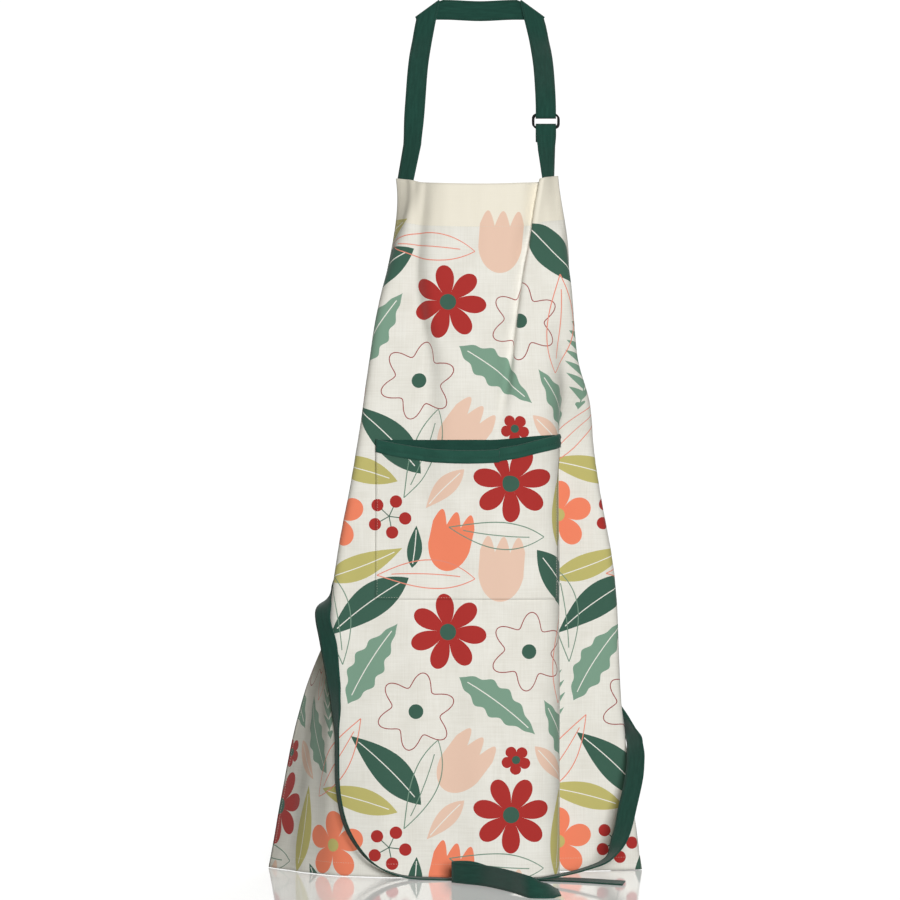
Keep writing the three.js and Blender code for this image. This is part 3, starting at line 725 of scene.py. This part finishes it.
def strap_tab_rows():
    front, back = route_rows(route_stops(TAB_FRONT)), route_rows(route_stops(TAB_BACK))
    flat = BIB_HALF_WIDTH - TAPE_WIDTH / 2
    sewn = sewn_rows(flat, flat - TAB_SLANT)
    return [*sewn, *front, *half_turn(front[-1], back[0], Vector((0, 0, 1))), *back]


def tie_rows(side, lying, hanging):
    """Rows of a waist tie: sewn inside the waist corner, folded down outside the edge, then its route."""
    down = WAIST_DOWN + TAPE_WIDTH / 2 + CORNER_INSET
    width = half_width(down)
    edge = Vector(cloth_point(side * width, down, BACK_LIFT))
    inner_flat = side * (width - SEWN_OVERLAP)
    inner = Vector(cloth_point(inner_flat, down, BACK_LIFT))
    along = (edge - inner).normalized()
    middles = [Vector(cloth_point(*stop)) for stop in lying]
    stops = []
    for i, (flat, level, _) in enumerate(lying):
        way = middles[min(len(lying) - 1, i + 1)] - middles[max(0, i - 1)]
        out = Vector(cloth_point(flat, level, 1.0) - cloth_point(flat, level))
        stops.append((middles[i], way.cross(out).normalized()))
    stops += route_stops(hanging)
    turn_middle = edge + along * TAPE_WIDTH
    leave = (stops[0][0] - turn_middle).normalized()
    crease = (along + leave).normalized()
    outwards = (along - crease * along.dot(crease)).normalized()
    if crease.z < 0:
        crease = -crease
    half = TAPE_WIDTH / 2 / crease.cross(along).length
    out = Vector(cloth_point(side * width, down, 1.0) - cloth_point(side * width, down))
    folded = (turn_middle + out * TIE_FOLD_OPENING, crease, half)
    turn_back = (turn_middle, crease, half)
    across = Vector(cloth_point(inner_flat, down - 1) - cloth_point(inner_flat, down + 1)).normalized()
    steps = range(TIE_SEWN_STEPS + 1)
    sewn = [(inner.lerp(edge, k / TIE_SEWN_STEPS), across, TAPE_WIDTH / 2) for k in steps]
    return [*sewn, turn_back, *half_turn(turn_back, folded, outwards), folded, *route_rows(stops)]


# Finishes


def operator(operation):
    return lambda value, other: value.finish.maths(operation, value, other)


def reflected(operation):
    return lambda value, other: value.finish.maths(operation, other, value)


class Amount:
    """A value that varies over a surface; a sum written with it adds the nodes that work it out."""

    def __init__(self, finish, socket):
        self.finish = finish
        self.socket = socket

    def __abs__(self):
        return self.finish.maths("ABSOLUTE", self)

    __add__ = operator("ADD")
    __radd__ = reflected("ADD")
    __sub__ = operator("SUBTRACT")
    __rsub__ = reflected("SUBTRACT")
    __mul__ = operator("MULTIPLY")
    __rmul__ = reflected("MULTIPLY")
    __truediv__ = operator("DIVIDE")
    __rtruediv__ = reflected("DIVIDE")
    __pow__ = operator("POWER")
    __lt__ = operator("LESS_THAN")
    __gt__ = operator("GREATER_THAN")


class Finish:
    """A material made of nodes."""

    def __init__(self, name):
        self.material = bpy.data.materials.new(name)
        self.material.use_nodes = True
        self.tree = self.material.node_tree
        self.tree.nodes.clear()

    def node(self, kind, settings=None, inputs=None):
        made = self.tree.nodes.new(kind)
        for key, value in (settings or {}).items():
            setattr(made, key, value)
        for key, value in (inputs or {}).items():
            value = value.socket if isinstance(value, Amount) else value
            if isinstance(value, bpy.types.NodeSocket):
                self.tree.links.new(value, made.inputs[key])
            else:
                made.inputs[key].default_value = value
        return made

    def maths(self, operation, *values):
        made = self.node("ShaderNodeMath", {"operation": operation}, dict(enumerate(values)))
        return Amount(self, made.outputs[0])

    def mix(self, factor, first, second):
        made = self.node("ShaderNodeMix", {"data_type": "RGBA"}, {0: factor, 6: first, 7: second})
        return made.outputs[2]

    def parts(self, vector):
        made = self.node("ShaderNodeSeparateXYZ", inputs={0: vector})
        return [Amount(self, socket) for socket in made.outputs]

    def cut_map(self):
        """Place on the cut cloth or tape, across and along, in millimetres."""
        across, along, _ = self.parts(self.node("ShaderNodeUVMap", {"uv_map": "cut"}).outputs[0])
        return across / MM, along / MM

    def cloud(self, across, along, detail=2.0):
        """Soft random value round one half, at the given coordinates."""
        place = self.node("ShaderNodeCombineXYZ", inputs={0: across, 1: along})
        made = self.node(
            "ShaderNodeTexNoise",
            {"noise_dimensions": "2D"},
            {"Vector": place.outputs[0], "Scale": 1.0, "Detail": detail},
        )
        return Amount(self, made.outputs[0])

    def grain(self, scale, detail):
        """Soft random value round one half, through the space that the piece is in."""
        place = self.node("ShaderNodeTexCoord").outputs["Object"]
        made = self.node("ShaderNodeTexNoise", inputs={"Vector": place, "Scale": scale, "Detail": detail})
        return Amount(self, made.outputs[0])

    def done(self, colour, roughness, height=None, distance=0.0, strength=1.0, **others):
        inputs = {"Base Color": colour, "Roughness": roughness}
        if height is not None:
            bump = self.node(
                "ShaderNodeBump", inputs={"Strength": strength, "Distance": distance, "Height": height}
            )
            inputs["Normal"] = bump.outputs[0]
        inputs.update({key.replace("_", " "): value for key, value in others.items()})
        shader = self.node("ShaderNodeBsdfPrincipled", inputs=inputs)
        self.node("ShaderNodeOutputMaterial", inputs={"Surface": shader.outputs[0]})
        return self.material


LINE_HALF = 0.6
LEAF_TAPER = 0.3
LEAF_LOBES = 5
LEAF_RIB_SHARE = 0.8


class Motif:
    """Drawing helpers for one layer of the print, in millimetres within the motif."""

    def __init__(self, finish, attribute):
        made = finish.node("ShaderNodeAttribute", {"attribute_name": attribute})
        self.finish = finish
        self.x, self.y, self.code = finish.parts(made.outputs["Vector"])
        self.reach = finish.maths("SQRT", self.x * self.x + self.y * self.y)
        self.angle = finish.maths("ARCTAN2", self.y, self.x)

    def is_kind(self, name):
        return self.finish.maths("COMPARE", self.code, float(MOTIF_CODES[name]), 0.1)

    def daisy(self, petals, length, core):
        wave = abs(self.finish.maths("COSINE", self.angle * (petals / 2)))
        edge = core + (length - core) * wave ** 0.5
        return self.reach < edge

    def disc(self, radius):
        return self.reach < radius

    def leaf_parts(self, half, wide, bend):
        """Place along a leaf, place aside of its rib and half its width there."""
        t = self.x / half
        body = 1 - t * t
        return t, self.y - bend * body, body * wide * (1 - LEAF_TAPER * t)

    def leaf(self, half, wide, bend, lobes):
        t, aside, inside = self.leaf_parts(half, wide, bend)
        if lobes:
            inside = inside * (1 + lobes * self.finish.maths("COSINE", t * (LEAF_LOBES * math.pi)))
        return abs(aside) < inside

    def leaf_rib(self, half, bend, share=LEAF_RIB_SHARE):
        t = self.x / half
        aside = self.y - bend * (1 - t * t)
        return (abs(aside) < LINE_HALF) * (abs(t) < share)

    def leaf_line(self, half, wide, bend):
        _, aside, inside = self.leaf_parts(half, wide, bend)
        return (abs(abs(aside) - inside) < LINE_HALF * 1.1) * (inside > 0)

    def fern(self, half, wide, pitch):
        t = self.x / half
        envelope = wide * (1 - t * t)
        side = abs(self.y)
        share = side / (abs(envelope) + 0.01)
        place = self.finish.maths("FRACT", (self.x + side * 0.8) / pitch + 20.0)
        leaflet = (abs(place - 0.5) < 0.4 * (1 - share * share)) * (side < envelope)
        stem = (side < 0.8) * (abs(t) < 0.97)
        return self.finish.maths("MAXIMUM", leaflet, stem)

    def tulip(self, half, wide):
        t = self.x / half
        side = abs(self.y) / wide
        low = self.finish.maths("MINIMUM", t, 0.0)
        cup = (side * side + low * low) < 1
        tips = 0.5 + 0.48 * abs(self.finish.maths("COSINE", side * (1.5 * math.pi)))
        return cup * (t < tips) * (side < 0.98)

    def berries(self, count, place, radius):
        sector = self.finish.maths("FRACT", self.angle * (count / (2 * math.pi)) + 0.5) - 0.5
        turn = sector * (2 * math.pi / count)
        along = self.reach * self.finish.maths("COSINE", turn)
        aside = self.reach * self.finish.maths("SINE", turn)
        away = along - place
        berry = (away * away + aside * aside) < radius * radius
        stem = (abs(aside) < LINE_HALF) * (along < place) * (along > 0)
        return berry, stem

    def wavy_edge(self, petals, middle, swing):
        """Distance from a wavy closed outline, negative inside."""
        edge = middle + swing * self.finish.maths("COSINE", self.angle * petals)
        slope = swing * petals * self.finish.maths("SINE", self.angle * petals) / self.reach
        return (self.reach - edge) / self.finish.maths("SQRT", 1 + slope * slope)


# Linen look: spacing of the threads, grain of the slubs over and along a thread, grain of the blotches
CLOTH_THREAD_PITCH = 0.8
SLUB_OVER = 0.6
SLUB_ALONG = 0.024
SLUB_DETAIL = 4.0
WEFT_FIELD = 40.0
BLOTCH_GRAIN = 0.03
SLUB_FROM = 0.3
SLUB_SHARE = 1.1
BLOTCH_SHARE = 0.6
HEM_SHARE = 0.8


def printed_cloth(name, ground, ink_share):
    """Linen-look cotton with the floral print; ink_share is how strongly the print shows."""
    finish = Finish(name)
    across, down = finish.cut_map()
    warp = finish.cloud(across * SLUB_OVER, down * SLUB_ALONG, SLUB_DETAIL)
    weft = finish.cloud(across * SLUB_ALONG + WEFT_FIELD, down * SLUB_OVER, SLUB_DETAIL)
    blotch = finish.cloud(across * BLOTCH_GRAIN, down * BLOTCH_GRAIN)
    slub = (warp + weft) * 0.5
    shade = (slub - SLUB_FROM) * SLUB_SHARE + (blotch - 0.5) * BLOTCH_SHARE
    colour = finish.mix(shade, ground, CREAM_SLUB)
    colour = finish.mix((down < TOP_HEM) * HEM_SHARE, colour, CREAM_HEM)

    large = Motif(finish, "large_motifs")
    line = Motif(finish, "line_motifs")

    def ink(shape, kind, paint):
        nonlocal colour
        colour = finish.mix(shape * kind * ink_share, colour, paint)

    for daisy, paint, petals, length, core, eye_paint, eye in DAISIES:
        kind = large.is_kind(daisy)
        ink(large.daisy(petals, length, core), kind, INK[paint])
        ink(large.disc(eye), kind, INK[eye_paint])
    for leaf, paint, half, wide, bend, lobes in LEAVES:
        kind = large.is_kind(leaf)
        ink(large.leaf(half, wide, bend, lobes), kind, INK[paint])
        ink(large.leaf_rib(half, bend), kind, ground)
    for tulip, paint, half, wide in TULIPS:
        ink(large.tulip(half, wide), large.is_kind(tulip), INK[paint])
    ink(large.fern(*FERN, FERN_PITCH), large.is_kind("sage_fern"), INK["sage"])
    kind = large.is_kind("red_berries")
    berry, stem = large.berries(*BERRIES)
    ink(stem, kind, INK["deep"])
    ink(berry, kind, INK["red"])
    kind = large.is_kind("white_daisy")
    outline = large.wavy_edge(*OUTLINE_FLOWER)
    ink(abs(outline) < LINE_HALF, kind, INK["dark_red_line"])
    ink(large.disc(OUTLINE_EYE), kind, INK["deep"])
    for leaf, paint, half, wide, bend in LINE_LEAVES:
        kind = line.is_kind(leaf)
        ink(line.leaf_line(half, wide, bend), kind, INK[paint])
        ink(line.leaf_rib(half, bend, LINE_RIB_SHARE), kind, INK[paint])

    around = 2 * math.pi / CLOTH_THREAD_PITCH
    threads = finish.maths("SINE", across * around) * finish.maths("SINE", down * around)
    return finish.done(
        colour,
        roughness=0.86 + 0.1 * slub,
        height=threads * 0.5 + slub * 1.6,
        distance=0.00012,
        strength=0.5,
        Sheen_Weight=0.15,
        Sheen_Roughness=0.5,
    )


# Tape: pitch of the twill, and the row of stitches along each edge
TWILL_PITCH = 1.3
EDGE_SEAM_INSET = 2.2
EDGE_SEAM_HALF = 0.42
EDGE_SEAM_DIP = 1.6
STITCH_PITCH = 3.2
STITCH_SHARE = 0.72


def woven_tape(name, dark, light, stitched=0.7):
    """Twill tape with a row of stitches along each edge."""
    finish = Finish(name)
    across, along = finish.cut_map()
    twill = finish.maths("SINE", (across + along) * (2 * math.pi / TWILL_PITCH))
    mottle = finish.cloud(across * 0.35, along * 0.05, 3.0)
    fibre = finish.cloud(across * 1.6, along * 1.6, 2.0)
    colour = finish.mix((mottle - 0.35) * 1.1 + (fibre - 0.5) * 0.5 + twill * 0.06, dark, light)
    seam = abs(abs(across) - (TAPE_WIDTH / 2 - EDGE_SEAM_INSET))
    dash = finish.maths("FRACT", along / STITCH_PITCH + 20.0) < STITCH_SHARE
    stitch = (seam < EDGE_SEAM_HALF) * dash
    colour = finish.mix(stitch * stitched, colour, THREAD_GREEN)
    dip = 1 - finish.maths("MINIMUM", seam / EDGE_SEAM_DIP, 1.0)
    return finish.done(
        colour,
        roughness=0.8 + 0.12 * fibre,
        height=twill * 0.16 + fibre * 0.3 - dip * 1.1 + stitch * 0.8,
        distance=0.0004,
        strength=0.6,
        Specular_IOR_Level=0.2,
        Sheen_Weight=0.12,
    )


def thread(name, dark, light):
    finish = Finish(name)
    fibre = finish.grain(scale=900.0, detail=2.0)
    return finish.done(finish.mix(fibre, dark, light), roughness=0.7 + 0.2 * fibre)


def dark_wire(name):
    finish = Finish(name)
    wear = finish.grain(scale=420.0, detail=3.0)
    return finish.done(
        finish.mix((wear - 0.45) * 1.6, RING_DARK, RING_WORN),
        roughness=0.5 + 0.25 * wear,
        height=wear,
        distance=0.00005,
        strength=0.4,
        Specular_IOR_Level=0.12,
    )


SHOW_THROUGH = 0.22
FAINT_STITCHES = 0.15

cloth_front = printed_cloth("printed_cotton", CREAM, 1.0)
cloth_reverse = printed_cloth("printed_cotton_reverse", REVERSE_CREAM, SHOW_THROUGH)
strap_green = woven_tape("deep_green_tape", TAPE_GREEN, TAPE_GREEN_LIGHT)
binding_green = woven_tape("green_binding_tape", BINDING_GREEN, BINDING_GREEN_LIGHT, FAINT_STITCHES)
# The pocket's back band is the binding's tape painted a darker green, as painted shade inside the pocket's
# mouth.
painted_shade_band_green = woven_tape("green_band_tape_painted_shade", TAPE_GREEN, BINDING_GREEN, FAINT_STITCHES)
cream_thread = thread("cream_thread", CREAM_SLUB, THREAD_CREAM)
green_thread = thread("green_thread", THREAD_GREEN, TAPE_GREEN)
ring_metal = dark_wire("dark_ring_wire")


# Camera

CAMERA_PLACE = (-0.0365, -5.158, -0.5389)
CAMERA_LENS = 164.2
CAMERA_SENSOR = 36.0

camera_data = bpy.data.cameras.new("camera")
camera_data.sensor_width = CAMERA_SENSOR
camera_data.lens = CAMERA_LENS
camera = linked("camera", camera_data)
camera.location = CAMERA_PLACE
camera.rotation_euler = (math.radians(90), 0, 0)
bpy.context.scene.camera = camera


# Straps and ties

neck_strap = tape("neck_strap_tape", "neck_strap", neck_strap_rows(), strap_green)
strap_tab = tape("strap_tab_tape", "strap_tab", strap_tab_rows(), strap_green)
left_rows = tie_rows(-1, LEFT_TIE_LYING, LEFT_TIE_HANGING)
right_rows = tie_rows(1, RIGHT_TIE_LYING, RIGHT_TIE_HANGING)
tape("left_tie_tape", "left_tie", left_rows, strap_green)
tape("right_tie_tape", "right_tie", right_rows, strap_green)


# Cloth panel

PANEL_COLUMNS = 168
PANEL_ROWS = 230


def panel_flats(share, part):
    down = part * APRON_LENGTH
    return (share * 2 - 1) * half_width(down), down


def panel_lift(flats, down):
    """The hems are folded cloth, so they stand slightly proud of the front."""

    def within(hem, inwards):
        return smooth((hem + HEM_STEP / 2 - inwards) / HEM_STEP)

    side = within(SIDE_HEM, half_width(down) - np.abs(flats))
    ends = np.maximum(within(TOP_HEM, down), within(BOTTOM_HEM, APRON_LENGTH - down))
    return HEM_STAND * np.maximum(side, ends)


panel = cloth_sheet(
    "printed_panel", PANEL_COLUMNS, PANEL_ROWS, panel_flats, panel_lift, [cloth_front, cloth_reverse]
)
thickened(panel, CLOTH_THICKNESS, 1)
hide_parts("panel")


# Pocket

POCKET_COLUMNS = 76
POCKET_ROWS = 60


def pocket_flats(share, part):
    flats = POCKET_LEFT + POCKET_WIDTH * share
    mouth = mouth_down(flats)
    return flats, mouth + (POCKET_TOP + POCKET_DEPTH - mouth) * part


pocket = cloth_sheet(
    "patch_pocket",
    POCKET_COLUMNS,
    POCKET_ROWS,
    pocket_flats,
    pocket_lift,
    [cloth_front, cloth_reverse],
)
thickened(pocket, CLOTH_THICKNESS, 1)
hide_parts("pocket")


def mouth_tape(name, node, material, profile, place_at):
    """Tape along the pocket's mouth with a profile of offsets, each with its place across the tape."""

    def map_at(line, side):
        return profile[line][0], (side + 1) / 2 * POCKET_WIDTH

    def lay(line, side):
        return place_at(POCKET_LEFT + POCKET_WIDTH * (side + 1) / 2, *profile[line][1:])

    piece = finished(name, strip(POCKET_COLUMNS, profile, map_at, lay), [material])
    thickened(piece, BINDING_THICKNESS)
    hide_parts(node)


def binding_profile():
    """Round the mouth's edge from the front's lower edge to the back's: place on the tape, lift, way up."""
    stand = CLOTH_THICKNESS / 2 + SEWN_GAP + BINDING_THICKNESS / 2
    front, turn, back = [], [], []
    for k in range(BINDING_STEPS + 1):
        part = k / BINDING_STEPS
        from_edge = TAPE_WIDTH / 2 - k * BINDING_MAP_STEP
        front.append((from_edge, stand, -BINDING_HEIGHT * (1 - part)))
        back.insert(0, (from_edge, -stand, -BINDING_HEIGHT * (1 - part)))
    for k in range(1, BINDING_STEPS):
        angle = math.pi * k / BINDING_STEPS
        turn.append((0.0, stand * math.cos(angle), BINDING_EDGE_RISE * math.sin(angle)))
    return [*front, *turn, *back]


def binding_place(flat, lift, up):
    mouth = float(mouth_down(flat))
    level = max(mouth, mouth - up)
    near_end = float(smooth((flat - (POCKET_RIGHT - END_CRUMPLE_REACH)) / END_CRUMPLE_OVER))
    crumple = max(0.0, END_CRUMPLE * near_end * math.sin(up * END_CRUMPLE_WAVE + flat))
    place = Vector(cloth_point(flat, level, float(pocket_lift(flat, level)) + lift + crumple))
    place.z += max(0.0, up)
    return place


def band_profile():
    """From the upper edge to the lower: place on the tape, distance down the cloth."""
    steps = range(BINDING_STEPS + 1)
    downs = [POCKET_TOP + BINDING_HEIGHT * k / BINDING_STEPS for k in steps]
    return [(TAPE_WIDTH / 2 - k * BINDING_MAP_STEP, downs[k]) for k in steps]


def band_place(flat, down):
    lift = CLOTH_THICKNESS / 2 + GAP + BINDING_THICKNESS / 2
    return Vector(cloth_point(flat, down - float(mouth_tilt(flat)), lift))


mouth_tape(
    "mouth_binding",
    "pocket_binding",
    binding_green,
    binding_profile(),
    binding_place,
)
# Back band behind the mouth, in the darker green of painted shade.
mouth_tape(
    "mouth_back_band",
    "pocket_back_band",
    painted_shade_band_green,
    band_profile(),
    band_place,
)


# Rings

WIRE_SIDES = 14
RING_STEPS = 96
SPUN_WIRE = 0.1


def wire_ring(name, place):
    """Oval ring: a round wire spun into a circle and drawn out to its oval."""
    bm = bmesh.new()
    start = Matrix.Translation((1.0, 0.0, 0.0))
    bmesh.ops.create_circle(bm, segments=WIRE_SIDES, radius=SPUN_WIRE, matrix=start)
    bmesh.ops.spin(
        bm,
        geom=bm.verts[:] + bm.edges[:],
        cent=(0.0, 0.0, 0.0),
        axis=(0.0, 1.0, 0.0),
        dvec=(0.0, 0.0, 0.0),
        angle=2 * math.pi,
        steps=RING_STEPS,
        use_merge=True,
    )
    wire_scale = RING_WIRE / SPUN_WIRE
    for vertex in bm.verts:
        angle = math.atan2(vertex.co.z, vertex.co.x)
        out = (math.hypot(vertex.co.x, vertex.co.z) - 1.0) * wire_scale
        side = vertex.co.y * wire_scale
        c, s = [math.copysign(abs(v) ** (2 / RING_SQUARENESS), v) for v in (math.cos(angle), math.sin(angle))]
        slope = [math.copysign(abs(v) ** (RING_SQUARENESS - 1), v) for v in (c, s)]
        way = Vector((slope[0] / RING_HALF_WIDTH, slope[1] / RING_HALF_HEIGHT)).normalized()
        vertex.co = (
            place[0] + RING_HALF_WIDTH * c + way.x * out,
            place[1] + side,
            place[2] + RING_HALF_HEIGHT * s + way.y * out,
        )
    bmesh.ops.recalc_face_normals(bm, faces=bm.faces[:])
    piece = finished(name + "_wire", bm, [ring_metal])
    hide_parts(name)


for ring_name, ring_place in RINGS.items():
    wire_ring(ring_name, ring_place)


# Stitches

STITCH_LENGTH = 2.3
THREAD_STAND = 0.1
FRONT_STITCH = CLOTH_THICKNESS / 2 + THREAD_STAND
HEM_LINE_STAND = 0.2
SEAM_ENDS_SHORT = 3.0
LEVEL_SEAM_STEP = 6.0
SIDE_SEAM_POINTS = 150
POCKET_SEAM_INSET = 2.5
POCKET_SEAM_FROM_BINDING = 2.0
POCKET_SIDE_POINTS = 40
POCKET_LOW_POINTS = 45
TAPE_BOX_INSET = 2.0
TAPE_BOX_POINTS = 9
TAB_SEAM_INSET = 1.5


def stitch_seam(name, runs, material, thick):
    """Rows of short stitches along runs of points, in millimetres."""
    bm = bmesh.new()
    for run in runs:
        points = [Vector(p) for p in run]
        walked, due = 0.0, STITCH_PITCH / 2
        for a, b in zip(points, points[1:]):
            span = (b - a).length
            while due <= walked + span and span > 0:
                middle = a.lerp(b, (due - walked) / span)
                turn = (b - a).to_track_quat("X", "Z").to_matrix().to_4x4()
                size = Matrix.Diagonal((STITCH_LENGTH / 2, thick / 2, thick / 2, 1.0))
                place = Matrix.Translation(middle) @ turn @ size
                bmesh.ops.create_icosphere(bm, subdivisions=1, radius=1.0, matrix=place)
                due += STITCH_PITCH
            walked += span
    finished(name, bm, [material])


def level_hem_run(down):
    half = half_width(down) - SEAM_ENDS_SHORT
    flats = np.linspace(-half, half, int(2 * half / LEVEL_SEAM_STEP))
    return cloth_row(flats, down, FRONT_STITCH + HEM_LINE_STAND)


def side_hem_run(sign):
    downs = np.linspace(SEAM_ENDS_SHORT, APRON_LENGTH - SEAM_ENDS_SHORT, SIDE_SEAM_POINTS)
    lift = FRONT_STITCH + HEM_STAND
    return [cloth_point(sign * (half_width(down) - SIDE_HEM), down, lift) for down in downs]


hem_runs = [
    level_hem_run(TOP_HEM),
    level_hem_run(APRON_LENGTH - BOTTOM_HEM),
    side_hem_run(-1),
    side_hem_run(1),
]
stitch_seam("hem_stitches", hem_runs, cream_thread, thick=0.38)


def pocket_edge_run():
    """Down the left edge, along the bottom and up the right edge, just inside the pocket's edges."""
    left, right = POCKET_LEFT + POCKET_SEAM_INSET, POCKET_RIGHT - POCKET_SEAM_INSET
    low = POCKET_TOP + POCKET_DEPTH - POCKET_SEAM_INSET
    left_top = POCKET_TOP + BINDING_HEIGHT + POCKET_SEAM_FROM_BINDING
    right_top = POCKET_TOP + BINDING_HEIGHT - POCKET_SEAM_FROM_BINDING
    places = [
        *np.linspace((left, left_top), (left, low), POCKET_SIDE_POINTS),
        *np.linspace((left, low), (right, low), POCKET_LOW_POINTS),
        *np.linspace((right, low), (right, right_top), POCKET_SIDE_POINTS),
    ]
    return [cloth_point(f, d, float(pocket_lift(f, d)) + FRONT_STITCH) for f, d in places]


stitch_seam("pocket_stitches", [pocket_edge_run()], cream_thread, thick=0.3)


def tape_end_run(sign):
    """Box of stitches that holds a tape's end to the bib's corner."""
    inner, outer = BIB_HALF_WIDTH - TAPE_WIDTH + TAPE_BOX_INSET, BIB_HALF_WIDTH - TAPE_BOX_INSET
    high, low = TAPE_BOX
    corners = [(inner, high), (outer, high), (outer, low), (inner, low), (inner, high)]
    places = [
        place
        for start, end in zip(corners, corners[1:])
        for place in np.linspace(start, end, TAPE_BOX_POINTS)
    ]
    return [cloth_point(sign * f, d, FRONT_STITCH) for f, d in places]


box_runs = [tape_end_run(-1), tape_end_run(1)]
stitch_seam("tape_end_stitches", box_runs, cream_thread, thick=0.55)


def tab_seam_run():
    """Row across the front of the tab where its short end is sewn down behind it."""
    rows = route_rows(route_stops(TAB_FRONT))
    middle, across, half = min(rows, key=lambda row: abs(row[0].z - TAB_SEAM_Z))
    before = Vector((0.0, -(TAPE_THICKNESS / 2 + THREAD_STAND), 0.0))
    return [middle + across * (side * (half - TAB_SEAM_INSET)) + before for side in (-1, 1)]


stitch_seam("tab_seam", [tab_seam_run()], green_thread, thick=0.6)


# Floor, light and white room

FLOOR_Z = -1.0603
FLOOR_MIDDLE_Y = -0.2
FLOOR_NEAR = 0.42
FLOOR_FADE = 0.5
FLOOR_HALF = 1.2
WHITE = (1.0, 1.0, 1.0, 1.0)
FLOOR_WHITE = (0.95, 0.95, 0.95, 1.0)

# Strength and colour of the room as it is seen, and as it lights the cloth
ROOM_SEEN = (1.05, WHITE)
ROOM_LIGHT = (0.06, (1.0, 0.98, 0.58, 1.0))

# Lights: place, the spot that each is turned to, size, power
SOFT_LIGHTS = {
    "front_softbox": ((0.45, -4.3, -0.3), (0.0, -0.1, -0.6), 0.9, 165.0),
    "top_softbox": ((0.0, -0.6, 1.8), (0.0, -0.2, -0.8), 1.6, 6.0),
    "back_softbox": ((0.3, 3.2, 0.7), (0.0, -0.1, -0.5), 1.2, 62.0),
}


def pale_floor():
    """Glossy white floor that fades out round the apron into the white room."""
    finish = Finish("pale_floor")
    x, y, _ = finish.parts(finish.node("ShaderNodeTexCoord").outputs["Object"])
    y = y - FLOOR_MIDDLE_Y
    away = finish.maths("SQRT", x * x + y * y)
    part = finish.maths("MINIMUM", finish.maths("MAXIMUM", (away - FLOOR_NEAR) / FLOOR_FADE, 0.0), 1.0)
    return finish.done(
        FLOOR_WHITE,
        roughness=0.06,
        Alpha=1 - part * part * (3 - 2 * part),
        Emission_Color=WHITE,
        Emission_Strength=0.24,
    )


floor_mesh = bpy.data.meshes.new("floor")
floor_bm = bmesh.new()
bmesh.ops.create_grid(floor_bm, x_segments=1, y_segments=1, size=FLOOR_HALF)
bmesh.ops.translate(floor_bm, verts=floor_bm.verts[:], vec=(0.0, 0.0, FLOOR_Z))
floor_bm.to_mesh(floor_mesh)
floor_bm.free()
floor_mesh.materials.append(pale_floor())
floor = linked("floor", floor_mesh)
floor.visible_diffuse = False

world = bpy.data.worlds.new("white_room")
world.use_nodes = True
nodes, links = world.node_tree.nodes, world.node_tree.links
nodes.clear()
path = nodes.new("ShaderNodeLightPath")
choose = nodes.new("ShaderNodeMixShader")
room = nodes.new("ShaderNodeOutputWorld")
links.new(path.outputs["Is Diffuse Ray"], choose.inputs[0])
for place_in_mix, (strength, colour) in enumerate((ROOM_SEEN, ROOM_LIGHT), start=1):
    glow = nodes.new("ShaderNodeBackground")
    glow.inputs["Strength"].default_value = strength
    glow.inputs["Color"].default_value = colour
    links.new(glow.outputs[0], choose.inputs[place_in_mix])
links.new(choose.outputs[0], room.inputs[0])
bpy.context.scene.world = world


def soft_light(name, place, target, size, power):
    data = bpy.data.lights.new(name, "AREA")
    data.shape = "SQUARE"
    data.size = size
    data.energy = power
    light = linked(name, data)
    light.location = place
    light.rotation_euler = (Vector(target) - Vector(place)).to_track_quat("-Z", "Y").to_euler()


for light_name, light_settings in SOFT_LIGHTS.items():
    soft_light(light_name, *light_settings)

bpy.context.scene.view_settings.view_transform = "Standard"
